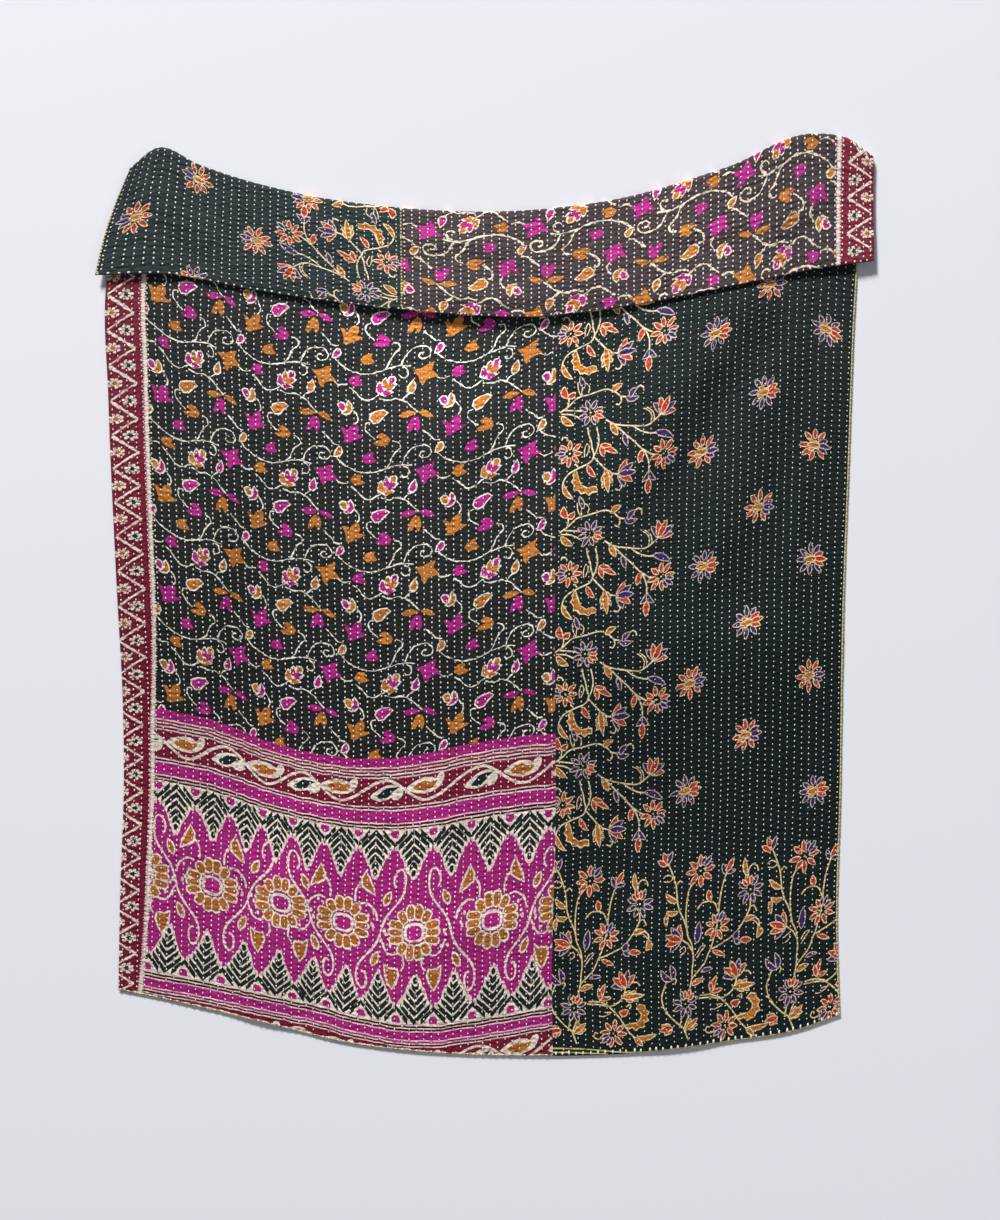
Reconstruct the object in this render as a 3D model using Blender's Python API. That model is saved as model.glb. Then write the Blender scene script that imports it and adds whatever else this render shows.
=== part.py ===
# Kantha quilt: two joined face cloths stitched to two joined reverse cloths by close rows of running stitch.
# The quilt lies on its reverse, and its top end is folded over onto its face, so the flap shows the reverse.
# +X runs across the quilt, +Y towards the fold, +Z up. The origin is the bottom centre of its box.

import math
from collections import namedtuple

import bmesh
import bpy
import numpy as np

MM = 0.001

# The cloth
ROWS = 98  # bays between one stitched row and the next, from edge to edge
FRONT_SEAM_ROW = 59  # where the two face cloths meet, counted from the left edge
BACK_SEAM_ROW = 36  # where the two reverse cloths meet
LAYER = 1.5 * MM  # one cloth with its share of the inner layers
STITCH_DIP = 0.6 * MM  # how far a stitched row is drawn in below the ribs beside it
CLEARANCE = 0.3 * MM  # left between neighbouring cloths
QUILT = 2 * LAYER + CLEARANCE

# The fold
FOLD_RADIUS = 5.0 * MM  # outside of the roll at the top end
FLAP_REST = 2.0 * MM  # gap between the flap and the face that it lies on
FLAP_LIFT = 1.7 * MM  # more gap where the flap's free edge stands off
FLAP_LIFT_SHARE = 0.52  # where across the quilt it stands off most
FLAP_LIFT_SPAN = 0.20
FLAP_FAN = 0.12  # how far the flap's side bows out on its way down

# How finely the solids are divided
BAY = 3  # rows to a bay of the plain faces
BODY_STEPS = 14  # from the hem up to the flap's edge
COVERED_STEPS = 3  # from there to the fold, under the flap
ROLL_STEPS = 6
FLAP_STEPS = 5
COVERED = 0.86  # share of the body's length that the flap leaves bare

Cross = namedtuple("Cross", "share x y")  # share of the width from the left edge, then mm across and up
Side = namedtuple("Side", "share x")  # share of the length from hem to fold, then mm across
Hem = namedtuple("Hem", "share y")
Swell = namedtuple("Swell", "x y heading length width height")  # mm and degrees from +X, half length and width

FOLD_LINE = (
    Cross(0.000, -603, 723),
    Cross(0.047, -552, 759),
    Cross(0.103, -484, 730),
    Cross(0.237, -314, 681),
    Cross(0.367, -144, 657),
    Cross(0.521, 60, 652),
    Cross(0.650, 231, 673),
    Cross(0.790, 409, 725),
    Cross(0.922, 567, 783),
    Cross(0.957, 613, 776),
    Cross(1.000, 660, 744),
)
FLAP_EDGE = (
    Cross(0.000, -660, 541),
    Cross(0.065, -548, 543),
    Cross(0.171, -402, 518),
    Cross(0.367, -142, 482),
    Cross(0.480, 8, 470),
    Cross(0.540, 85, 470),
    Cross(0.670, 256, 491),
    Cross(0.800, 420, 522),
    Cross(0.930, 577, 554),
    Cross(1.000, 660, 565),
)
HEM_LINE = (
    Hem(0.00, -672),
    Hem(0.06, -687),
    Hem(0.21, -730),
    Hem(0.31, -760),
    Hem(0.45, -780),
    Hem(0.60, -784),
    Hem(0.73, -778),
    Hem(0.84, -761),
    Hem(0.94, -741),
    Hem(1.00, -715),
)
LEFT_EDGE = (
    Side(0.00, -622),
    Side(0.12, -619),
    Side(0.25, -613),
    Side(0.36, -615),
    Side(0.48, -624),
    Side(0.72, -639),
    Side(0.86, -643),
    Side(1.00, -603),
)
RIGHT_EDGE = (
    Side(0.00, 604),
    Side(0.09, 600),
    Side(0.28, 606),
    Side(0.46, 610),
    Side(0.65, 620),
    Side(0.83, 630),
    Side(0.90, 637),
    Side(1.00, 660),
)
SWELLS = (
    Swell(375, 330, -60, 300, 170, 7),
    Swell(485, -120, 80, 330, 120, 6),
    Swell(180, -60, 96, 300, 110, 5),
    Swell(-25, 330, 95, 320, 125, 6),
    Swell(-433, 180, 84, 340, 110, 6),
    Swell(-230, -190, 100, 260, 110, 4),
    Swell(-340, -570, 76, 260, 100, 7),
    Swell(-70, -560, 99, 230, 100, 5),
    Swell(345, -610, 82, 240, 115, 7),
)

Panel = namedtuple("Panel", "name first_row last_row is_front colour roughness")
PANELS = (
    Panel("front_left_panel", 0, FRONT_SEAM_ROW, True, (0.020, 0.019, 0.020), 0.92),
    Panel("front_right_panel", FRONT_SEAM_ROW, ROWS, True, (0.010, 0.021, 0.019), 0.90),
    Panel("back_left_panel", 0, BACK_SEAM_ROW, False, (0.013, 0.028, 0.025), 0.90),
    Panel("back_right_panel", BACK_SEAM_ROW, ROWS, False, (0.042, 0.031, 0.035), 0.92),
)


def mix(a, b, share):
    return a + (b - a) * share


def eased(t):
    t = min(max(t, 0.0), 1.0)
    return t * t * (3 - 2 * t)


# The smooth curve through a table's rows: each later column as a function of the first
class Curve:
    def __init__(self, table):
        rows = np.array(table, dtype=float)
        self.at, self.value = rows[:, 0], rows[:, 1:] * MM
        self.slope = np.gradient(self.value, self.at, axis=0)

    def __call__(self, share):
        i = int(np.clip(np.searchsorted(self.at, share) - 1, 0, len(self.at) - 2))
        span = self.at[i + 1] - self.at[i]
        t = (share - self.at[i]) / span
        swing = t * (1 - t) * span
        found = mix(self.value[i], self.value[i + 1], t * t * (3 - 2 * t))
        found = found + swing * ((1 - t) * self.slope[i] - t * self.slope[i + 1])
        return found if len(found) > 1 else found[0]


fold_line, flap_edge, hem_line = Curve(FOLD_LINE), Curve(FLAP_EDGE), Curve(HEM_LINE)
left_edge, right_edge = Curve(LEFT_EDGE), Curve(RIGHT_EDGE)


# Height of the soft folds that lift the quilt off the floor, each an oval mound with a level rim
def swell(x, y):
    height = 0.0
    for fold in SWELLS:
        heading = math.radians(fold.heading)
        dx, dy = x - fold.x * MM, y - fold.y * MM
        along = (dx * math.cos(heading) + dy * math.sin(heading)) / (fold.length * MM)
        across = (dy * math.cos(heading) - dx * math.sin(heading)) / (fold.width * MM)
        height += fold.height * MM * max(0.0, 1 - along * along - across * across) ** 2
    return height


def flap_gap(share, t):
    settled = mix(2 * (FOLD_RADIUS - QUILT), FLAP_REST, eased(t / 0.4))
    off = math.exp(-(((share - FLAP_LIFT_SHARE) / FLAP_LIFT_SPAN) ** 2))
    return settled + FLAP_LIFT * off * eased((t - 0.4) / 0.6)


# Where a point of the cloth lies. Along is 0 at the hem, 1 to 2 round the fold and 3 at the flap's free edge,
# and depth is measured from the reverse face through to the front one.
def laid(row, along, depth):
    share = row / ROWS
    fold_x, fold_y = fold_line(share)
    turn_y = fold_y - FOLD_RADIUS
    if along <= 1:
        straight = mix(left_edge(along), right_edge(along), share)
        drawn = fold_x - mix(left_edge(1.0), right_edge(1.0), share)
        x = straight + drawn * eased((along - COVERED) / (1 - COVERED))
        y = mix(hem_line(share), turn_y, along)
        z = depth
    elif along <= 2:
        angle = math.pi * (along - 1)
        x = fold_x
        y = turn_y + (FOLD_RADIUS - depth) * math.sin(angle)
        z = FOLD_RADIUS - (FOLD_RADIUS - depth) * math.cos(angle)
    else:
        t = along - 2
        edge_x, edge_y = flap_edge(share)
        x = mix(fold_x, edge_x, t + FLAP_FAN * math.sin(math.pi * t))
        y = mix(turn_y, edge_y, t)
        z = 2 * QUILT + flap_gap(share, t) - depth
    return x, y, z + swell(x, y)


# Rows where the plain faces of every layer are divided: each seam falls on one
def bay_rows(first, last):
    stops = [row for row in (0, BACK_SEAM_ROW, FRONT_SEAM_ROW, ROWS) if first <= row <= last]
    rows = [row for a, b in zip(stops, stops[1:]) for row in range(a, b, BAY)]
    return rows + [last]


def stations():
    bare = [COVERED * i / BODY_STEPS for i in range(BODY_STEPS)]
    covered = [mix(COVERED, 1.0, i / COVERED_STEPS) for i in range(COVERED_STEPS)]
    roll = [1 + i / ROLL_STEPS for i in range(ROLL_STEPS)]
    return bare + covered + roll + [2 + i / FLAP_STEPS for i in range(FLAP_STEPS + 1)]


# One cloth, cut flat as a slab of (row, station, depth), ribbed on the face that shows, then laid in place
def make_panel(panel, collection):
    rows, along = bay_rows(panel.first_row, panel.last_row), stations()
    inner, outer = (QUILT - LAYER, QUILT) if panel.is_front else (LAYER, 0.0)
    bm = bmesh.new()
    bmesh.ops.create_grid(bm, x_segments=len(rows) - 1, y_segments=len(along) - 1, size=0.5)
    for vert in bm.verts:
        column = round((vert.co.x + 0.5) * (len(rows) - 1))
        station = round((vert.co.y + 0.5) * (len(along) - 1))
        vert.co = (rows[column], along[station], inner)
    plain = bm.faces[:]
    raised = bmesh.ops.extrude_face_region(bm, geom=plain, use_keep_orig=True)["geom"]
    face_verts = [item for item in raised if isinstance(item, bmesh.types.BMVert)]
    for vert in face_verts:
        vert.co.z = outer
    bmesh.ops.triangulate(bm, faces=plain, quad_method="FIXED")
    rib_the_face(bm, panel, face_verts, outer)
    clear_the_seams(bm, panel)
    bmesh.ops.recalc_face_normals(bm, faces=bm.faces[:])
    for vert in bm.verts:
        vert.co = laid(*vert.co)
    if signed_volume(bm) < 0:
        bmesh.ops.reverse_faces(bm, faces=bm.faces[:])
    mesh = bpy.data.meshes.new(panel.name)
    bm.to_mesh(mesh)
    bm.free()
    piece = bpy.data.objects.new(panel.name, mesh)
    piece.data.materials.append(cloth_material(panel))
    collection.objects.link(piece)
    return piece


# Divides the bays that show into half rows, and draws each stitched row in
def rib_the_face(bm, panel, face_verts, outer):
    shows_from, shows_to = (0.0, 1.0) if panel.is_front else (1.0 + 1 / ROLL_STEPS, 3.0)
    on_face = {vert for vert in face_verts if shows_from - 1e-6 <= vert.co.y <= shows_to + 1e-6}
    crossing = {}
    for edge in bm.edges:
        a, b = edge.verts
        if a in on_face and b in on_face and abs(a.co.y - b.co.y) < 1e-6:
            crossing.setdefault(round(abs(a.co.x - b.co.x)), []).append(edge)
    for width, edges in crossing.items():
        bmesh.ops.subdivide_edges(bm, edges=edges, cuts=2 * width - 1)
    inward = -STITCH_DIP if panel.is_front else STITCH_DIP
    for vert in bm.verts:
        if abs(vert.co.z - outer) < 1e-7 and abs(vert.co.x % 1 - 0.5) < 0.1:
            vert.co.z += inward


def clear_the_seams(bm, panel):
    half_gap = CLEARANCE / 2 / (1.27 / ROWS)
    for vert in bm.verts:
        if vert.co.x < panel.first_row + 0.01 and panel.first_row > 0:
            vert.co.x += half_gap
        if vert.co.x > panel.last_row - 0.01 and panel.last_row < ROWS:
            vert.co.x -= half_gap


def signed_volume(bm):
    return bm.calc_volume(signed=True)


def cloth_material(panel):
    material = bpy.data.materials.new(panel.name.replace("panel", "cotton"))
    material.use_nodes = True
    shader = material.node_tree.nodes["Principled BSDF"]
    shader.inputs["Base Color"].default_value = (*panel.colour, 1.0)
    shader.inputs["Roughness"].default_value = panel.roughness
    shader.inputs["Metallic"].default_value = 0.0
    return material


def main():
    for old in list(bpy.data.objects):
        bpy.data.objects.remove(old, do_unlink=True)
    collection = bpy.data.collections.new("Kantha quilt")
    bpy.context.scene.collection.children.link(collection)
    for panel in PANELS:
        make_panel(panel, collection)


main()
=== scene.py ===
import math
import random

import bpy
import numpy as np
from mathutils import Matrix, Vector
from mathutils.geometry import delaunay_2d_cdt


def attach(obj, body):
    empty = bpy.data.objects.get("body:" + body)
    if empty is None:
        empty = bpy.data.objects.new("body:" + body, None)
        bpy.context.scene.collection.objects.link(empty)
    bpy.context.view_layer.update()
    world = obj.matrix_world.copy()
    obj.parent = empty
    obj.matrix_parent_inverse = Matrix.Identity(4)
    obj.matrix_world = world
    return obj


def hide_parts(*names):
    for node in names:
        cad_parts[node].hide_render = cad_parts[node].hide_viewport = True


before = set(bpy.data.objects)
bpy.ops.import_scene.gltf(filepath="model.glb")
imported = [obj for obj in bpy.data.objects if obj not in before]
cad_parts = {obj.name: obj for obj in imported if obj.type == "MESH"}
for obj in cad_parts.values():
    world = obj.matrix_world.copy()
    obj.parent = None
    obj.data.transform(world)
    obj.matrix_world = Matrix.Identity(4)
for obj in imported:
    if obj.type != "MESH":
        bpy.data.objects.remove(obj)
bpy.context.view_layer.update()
bpy.ops.object.select_all(action="DESELECT")

# Everything below is in millimetres until a mesh is written. A place on the cloth is (u, v): u across from
# the left edge, v along from the hem, over the fold and down to the flap's free edge.
mm = 0.001
quilt = {
    "rows": 98,            # stitched rows from edge to edge
    "frontSeamRow": 59,    # where the two face cloths meet
    "backSeamRow": 36,     # where the two reverse cloths meet
    "width": 1270.0,
    "body": 1430.0,        # hem to fold
    "roll": 13.0,          # round the fold
    "flap": 200.0,         # fold to the flap's free edge
    "thick": 3.3,
    "foldRadius": 5.0,
    "covered": 0.86,       # share of the body that the flap leaves bare
    "flapRest": 2.0,
    "flapLift": 1.7,
    "flapLiftShare": 0.52,
    "flapLiftSpan": 0.20,
    "flapFan": 0.12,
    "flapSettles": 0.4,    # share of the flap over which it comes down to its rest
    # share across, span and height of each place where the flap's free edge stands up, and where that starts
    "flapStands": ((0.03, 0.06, 4.0), (0.43, 0.13, 6.5), (0.97, 0.07, 5.0)),
    "standsFrom": 0.35,
    "creasesFrom": 0.3,
}
quilt["pitch"] = quilt["width"] / quilt["rows"]
quilt["length"] = quilt["body"] + quilt["roll"] + quilt["flap"]
frontSeam = quilt["frontSeamRow"] * quilt["pitch"]
backSeam = quilt["backSeamRow"] * quilt["pitch"]

# The laid quilt: (share across, x, y), (share across, y) and (share along, x)
foldLine = (
    (0.000, -603, 723), (0.047, -552, 759), (0.103, -484, 730), (0.237, -314, 681),
    (0.367, -144, 657), (0.521, 60, 652), (0.650, 231, 673), (0.790, 409, 725),
    (0.922, 567, 783), (0.957, 613, 776), (1.000, 660, 744),
)
flapEdge = (
    (0.000, -660, 541), (0.065, -548, 543), (0.171, -402, 518), (0.367, -142, 482),
    (0.480, 8, 470), (0.540, 85, 470), (0.670, 256, 491), (0.800, 420, 522),
    (0.930, 577, 554), (1.000, 660, 565),
)
hemLine = (
    (0.00, -672), (0.06, -687), (0.21, -730), (0.31, -760), (0.45, -780),
    (0.60, -784), (0.73, -778), (0.84, -761), (0.94, -741), (1.00, -715),
)
leftEdge = (
    (0.00, -622), (0.12, -619), (0.25, -613), (0.36, -615), (0.48, -624),
    (0.72, -639), (0.86, -643), (1.00, -603),
)
rightEdge = (
    (0.00, 604), (0.09, 600), (0.28, 606), (0.46, 610), (0.65, 620),
    (0.83, 630), (0.90, 637), (1.00, 660),
)
# Soft folds: x, y, heading in degrees, half length, half width, height
swells = (
    (320, 420, 62, 210, 120, 4),
    (485, -120, 80, 330, 120, 6),
    (180, -60, 96, 300, 110, 5),
    (-25, 330, 95, 320, 125, 6),
    (-433, 180, 84, 340, 110, 6),
    (-230, -190, 100, 260, 110, 4),
    (-340, -570, 76, 260, 100, 7),
    (-70, -560, 99, 230, 100, 5),
    (345, -610, 82, 240, 115, 7),
)
# Creases fanning out from the two corners the quilt is drawn to, and along the flap: x, y of the crest, how
# far it slopes away on the left and on the right of that path, and its height
bodyCreases = (
    (((478, 560), (448, 500), (397, 414), (337, 345), (300, 262), (225, 190), (150, 120)), 72, 130, 12.0),
    (((510, 430), (478, 330), (450, 230), (428, 130), (385, 50), (350, -50)), 66, 80, 9.0),
    (((590, 420), (570, 300), (545, 160), (520, 40), (480, -80)), 50, 40, 4.0),
    (((560, -70), (430, -84), (300, -84), (180, -70)), 170, 80, 8.0),
    (((-314, 297), (-93, 280), (128, 314)), 84, 84, 4.0),
    (((-470, -200), (-452, 60), (-470, 280), (-500, 420)), 60, 40, 4.0),
    (((-318, -150), (-300, 20), (-330, 180)), 60, 36, 3.6),
    (((-96, -170), (-70, 10), (-120, 150)), 60, 40, 3.6),
    (((60, -180), (92, -40), (70, 120)), 60, 36, 3.0),
    (((-560, -420), (-380, -470), (-250, -540)), 44, 44, 3.4),
    (((-150, -610), (10, -560), (130, -590)), 52, 52, 3.6),
    (((290, -640), (300, -470), (230, -330)), 70, 44, 4.0),
    (((480, -690), (500, -560), (470, -420)), 50, 40, 3.6),
)
flapCreases = (
    (((-586, 704), (-518, 636), (-425, 566)), 60, 36, 5.0),
    (((-344, 664), (-285, 613), (-205, 580)), 50, 32, 3.6),
    (((-160, 604), (-24, 594), (100, 566)), 30, 30, 4.0),
    (((-110, 512), (26, 500), (150, 514)), 24, 20, 3.0),
    (((300, 610), (400, 618), (470, 650)), 40, 30, 3.0),
    (((588, 706), (530, 650), (470, 596)), 36, 60, 4.6),
)
relief = {
    "stitchDip": 0.75,     # the stitched row below the rib beside it
    "ribPower": 0.8,
    "unevenRib": 0.28,
    "ripple": 0.5,         # slack of the whole cloth between the big folds
    "rim": 3.5,            # how far from the edge the two faces start to close
    "seamDip": 0.9,
    "seamHalf": 1.8,
    "creaseStep": 30,
    "creaseEnds": (0.18, 0.4),     # shares of its length over which a crease rises and dies away
    "creaseLeast": 0.2,
}


def mix(a, b, share):
    return a + (b - a) * share


def eased(t):
    t = np.clip(t, 0.0, 1.0)
    return t * t * (3 - 2 * t)


def smoothTable(table):
    rows = np.array(table, dtype=float)
    at, value = rows[:, 0], rows[:, 1:]
    slope = np.gradient(value, at, axis=0)

    def read(share):
        share = np.asarray(share, dtype=float)
        i = np.clip(np.searchsorted(at, share) - 1, 0, len(at) - 2)
        span = (at[i + 1] - at[i])[:, None]
        t = (share - at[i])[:, None] / span
        found = mix(value[i], value[i + 1], t * t * (3 - 2 * t))
        found = found + t * (1 - t) * span * ((1 - t) * slope[i] - t * slope[i + 1])
        return found if found.shape[1] > 1 else found[:, 0]

    return read


readFold, readFlap, readHem = smoothTable(foldLine), smoothTable(flapEdge), smoothTable(hemLine)
readLeft, readRight = smoothTable(leftEdge), smoothTable(rightEdge)


def smoothPath(points, step):
    out = []
    last = len(points) - 1
    for i in range(last):
        p0, p1 = points[max(i - 1, 0)], points[i]
        p2, p3 = points[i + 1], points[min(i + 2, last)]
        count = max(1, round(math.dist(p1, p2) / step))
        for k in range(count):
            t = k / count
            out.append(tuple(0.5 * (2 * b + (c - a) * t + (2 * a - 5 * b + 4 * c - d) * t * t
                                    + (3 * b - a - 3 * c + d) * t ** 3)
                             for a, b, c, d in zip(p0, p1, p2, p3)))
    return out + [tuple(points[-1])]


def swellHeight(x, y):
    height = np.zeros_like(x)
    for sx, sy, heading, length, width, rise in swells:
        turn = math.radians(heading)
        dx, dy = x - sx, y - sy
        along = (dx * math.cos(turn) + dy * math.sin(turn)) / length
        across = (dy * math.cos(turn) - dx * math.sin(turn)) / width
        height += rise * np.maximum(0.0, 1 - along * along - across * across) ** 2
    return height


def creaseHeight(creases, x, y):
    height = np.zeros_like(x)
    least, (start, finish) = relief["creaseLeast"], relief["creaseEnds"]
    for path, leftWide, rightWide, rise in creases:
        path = np.array(smoothPath(path, relief["creaseStep"]))
        spans = np.hypot(*np.diff(path, axis=0).T)
        reached = np.concatenate([[0], np.cumsum(spans)]) / spans.sum()
        nearest, along, leftOf = np.full_like(x, 1e9), np.zeros_like(x), np.zeros_like(x)
        for (ax, ay), (bx, by), low, high in zip(path, path[1:], reached, reached[1:]):
            long = math.hypot(bx - ax, by - ay)
            t = np.clip(((x - ax) * (bx - ax) + (y - ay) * (by - ay)) / long ** 2, 0, 1)
            away = np.hypot(x - mix(ax, bx, t), y - mix(ay, by, t))
            closer = away < nearest
            nearest = np.where(closer, away, nearest)
            along = np.where(closer, mix(low, high, t), along)
            leftOf = np.where(closer, (bx - ax) * (y - ay) - (by - ay) * (x - ax) > 0, leftOf)
        ends = eased(along / start) * eased((1 - along) / finish)
        height += rise * mix(least, 1, ends) * eased(1 - nearest / np.where(leftOf, leftWide, rightWide))
    return height


# Low waves all over the cloth, long ones and fine ones
def slack(x, y):
    wave = np.sin(x / 61 + 1.3 * np.sin(y / 143)) * np.sin(y / 97 + 0.8 + 1.1 * np.sin(x / 171))
    fine = np.sin(x / 23 + y / 71 + 2.0 * np.sin(y / 190)) * np.sin(y / 83 - x / 140)
    return relief["ripple"] * (1 + 0.65 * wave + 0.35 * fine)


# Where the cloth's points lie: depth counted from the reverse face through to the front one
def laid(u, v, depth):
    share = u / quilt["width"]
    radius, body, roll = quilt["foldRadius"], quilt["body"], quilt["roll"]
    fold = readFold(share)
    turnY = fold[:, 1] - radius
    a = np.clip(v / body, 0, 1)
    left, right = readLeft(a), readRight(a)
    drawn = fold[:, 0] - mix(leftEdge[-1][1], rightEdge[-1][1], share)
    x = mix(left, right, share) + drawn * eased((a - quilt["covered"]) / (1 - quilt["covered"]))
    y = mix(readHem(share), turnY, a)
    z = depth.astype(float).copy()
    turning = (v > body) & (v <= body + roll)
    angle = math.pi * np.clip((v - body) / roll, 0, 1)
    x = np.where(turning, fold[:, 0], x)
    y = np.where(turning, turnY + (radius - depth) * np.sin(angle), y)
    z = np.where(turning, radius - (radius - depth) * np.cos(angle), z)
    over = v > body + roll
    t = np.clip((v - body - roll) / quilt["flap"], 0, 1)
    edge = readFlap(share)
    off = np.exp(-(((share - quilt["flapLiftShare"]) / quilt["flapLiftSpan"]) ** 2))
    settles, stands = quilt["flapSettles"], quilt["standsFrom"]
    gap = mix(2 * (radius - quilt["thick"]), quilt["flapRest"], eased(t / settles))
    gap = gap + quilt["flapLift"] * off * eased((t - settles) / (1 - settles))
    x = np.where(over, mix(fold[:, 0], edge[:, 0], t + quilt["flapFan"] * np.sin(math.pi * t)), x)
    y = np.where(over, mix(turnY, edge[:, 1], t), y)
    z = np.where(over, 2 * quilt["thick"] + gap - depth, z)
    z = z + swellHeight(x, y) + slack(x, y) + creaseHeight(bodyCreases, x, y)
    standing = sum(rise * np.exp(-(((share - at) / span) ** 2)) for at, span, rise in quilt["flapStands"])
    standing = standing * eased((t - stands) / (1 - stands))
    standing = standing + creaseHeight(flapCreases, x, y) * eased(t / quilt["creasesFrom"])
    return np.stack([x, y, z + np.where(over, standing, 0)], axis=1)


# Depth of a face's surface: ribs between the stitched rows, closed to mid depth round the rim
def faceDepth(u, v, front, lift=0.0):
    row = u / quilt["pitch"]
    fromStitch = np.abs(row % 1 - 0.5) * 2
    rib = -relief["stitchDip"] * (1 - np.minimum(fromStitch, 1.0) ** relief["ribPower"])
    lively = np.sin(v / 37 + 2.4 * np.floor(row)) * np.sin(v / 91 + 1.7 * np.floor(row))
    rib = rib + relief["unevenRib"] * lively * fromStitch
    rim = np.minimum.reduce([u, quilt["width"] - u, v, quilt["length"] - v])
    near = np.clip(rim / relief["rim"], 0, 1)
    bulge = np.sqrt(1 - (1 - near) ** 2)
    seam = np.abs(u - (frontSeam if front else backSeam))
    dip = relief["seamDip"] * np.clip(1 - seam / relief["seamHalf"], 0, 1)
    half = quilt["thick"] / 2
    outward = half * bulge + (rib - dip + lift) * near + lift * (1 - near)
    return half + outward if front else half - outward


# From the usual 0 to 255 to linear light
def linear(r, g, b):
    return tuple(c / 12.92 if c < 0.04045 else ((c + 0.055) / 1.055) ** 2.4
                 for c in (r / 255, g / 255, b / 255))


dyes = {dye: linear(*colour) for dye, colour in {
    "charcoal": (33, 36, 36), "umber": (68, 55, 58), "green": (20, 33, 33), "greenPale": (37, 50, 51),
    "maroon": (130, 22, 52), "magenta": (190, 36, 142), "plum": (185, 34, 133), "ochre": (204, 124, 44),
    "rust": (190, 110, 42), "cream": (255, 248, 230), "ecru": (252, 230, 202), "ivory": (252, 238, 220),
    "blush": (255, 216, 218), "peach": (255, 224, 176), "lilac": (224, 200, 178), "stem": (254, 231, 184),
    "straw": (251, 222, 156), "orange": (204, 66, 44), "purple": (61, 43, 109), "ink": (30, 38, 40),
    "wine": (72, 10, 28), "cord": (222, 210, 130),
}.items()}
printing = {"smallest": 0.1, "shade": (0.9, 1.08), "coarseStep": 2.2}     # smallest in square mm


class Cloth:
    def __init__(self, place, seed, coarseBelow=0.0):
        self.place = place          # from the print's own coordinates to (u, v)
        self.coarseBelow = coarseBelow      # the v under which lines take longer steps
        self.dice = random.Random(seed)
        self.shapes = []

    def shaken(self, points, reach):
        stray = self.dice.uniform
        return [(x + stray(-reach, reach), y + stray(-reach, reach)) for x, y in points] if reach else points

    # rough: how far each corner may stray
    def fill(self, dye, points, rough=0.0):
        points = untangled([self.place(x, y) for x, y in self.shaken(points, rough)])
        area = turnedArea(points)
        if abs(area) > 2 * printing["smallest"]:
            shade = self.dice.uniform(*printing["shade"])
            self.shapes.append((dye, shade, points if area > 0 else points[::-1]))

    def line(self, dye, points, width, step=4.5, ragged=0.22, shaken=0.0):
        if self.place(*points[0])[1] < self.coarseBelow:
            step *= printing["coarseStep"]
        path = self.shaken(smoothPath(points, step), shaken)
        rails = []
        for (ax, ay), (x, y), (bx, by) in zip(path[:1] + path, path, path[1:] + path[-1:]):
            long = math.hypot(bx - ax, by - ay) or 1.0
            half = width / 2 * (1 + self.dice.uniform(-ragged, ragged))
            nx, ny = -(by - ay) / long * half, (bx - ax) / long * half
            rails.append(((x + nx, y + ny), (x - nx, y - ny)))
        for (l0, r0), (l1, r1) in zip(rails, rails[1:]):
            self.fill(dye, [r0, r1, l1, l0])

    def edged(self, rim, dye, points, margin=1.9, rough=0.35):
        if rim:
            self.fill(rim, offset(points, margin * 0.5), rough)
            points = offset(points, -margin * 0.5)
        self.fill(dye, points, rough)

    def leaf(self, dye, x0, y0, x1, y1, width, rim=None, bend=0.0, margin=1.7):
        self.edged(rim, dye, leafOutline(x0, y0, x1, y1, width, bend), margin, 0.25)


# Twice the area inside an outline, below nought when it runs clockwise
def turnedArea(points):
    return sum(a[0] * b[1] - b[0] * a[1] for a, b in zip(points, points[1:] + points[:1]))


# An outline that crosses itself loses its smaller loop
def untangled(points):
    count = len(points)
    for i in range(count - 2):
        ax, ay = points[i]
        bx, by = points[i + 1][0] - ax, points[i + 1][1] - ay
        for j in range(i + 2, count - (i == 0)):
            cx, cy = points[j][0] - ax, points[j][1] - ay
            end = points[(j + 1) % count]
            dx, dy = end[0] - ax, end[1] - ay
            if (bx * cy - by * cx) * (bx * dy - by * dx) > 0:
                continue
            ex, ey = dx - cx, dy - cy
            if (ex * -cy + ey * cx) * (ex * (by - cy) - ey * (bx - cx)) > 0:
                continue
            parts = (points[i + 1:j + 1], points[:i + 1] + points[j + 1:])
            return untangled(max(parts, key=lambda part: abs(turnedArea(part))))
    return points


def rounded(points):
    out = []
    for i, b in enumerate(points):
        a, c, d = points[i - 1], points[(i + 1) % len(points)], points[(i + 2) % len(points)]
        out += [b, tuple((9 * (q + r) - (p + s)) / 16 for p, q, r, s in zip(a, b, c, d))]
    return out


# The outline moved out by a margin, or in where that is below nought
def offset(points, margin):
    reach = 1.25 * margin * (1 if turnedArea(points) > 0 else -1)
    out = []
    for (ax, ay), (x, y), (bx, by) in zip(points[-1:] + points, points, points[1:] + points[:1]):
        a, b = math.hypot(x - ax, y - ay) or 1, math.hypot(bx - x, by - y) or 1
        nx, ny = (y - ay) / a + (by - y) / b, (ax - x) / a + (x - bx) / b
        long = max(math.hypot(nx, ny), 0.8)
        out.append((x + reach * nx / long, y + reach * ny / long))
    return out


# An outline set down at a place, mirrored where side is below nought
def moved(points, x, y, side=1):
    return [(x + side * px, y + py) for px, py in points]


leafForm = {"shares": (0.12, 0.36, 0.64, 0.86), "belly": 0.85, "fullness": 0.75}


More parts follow.
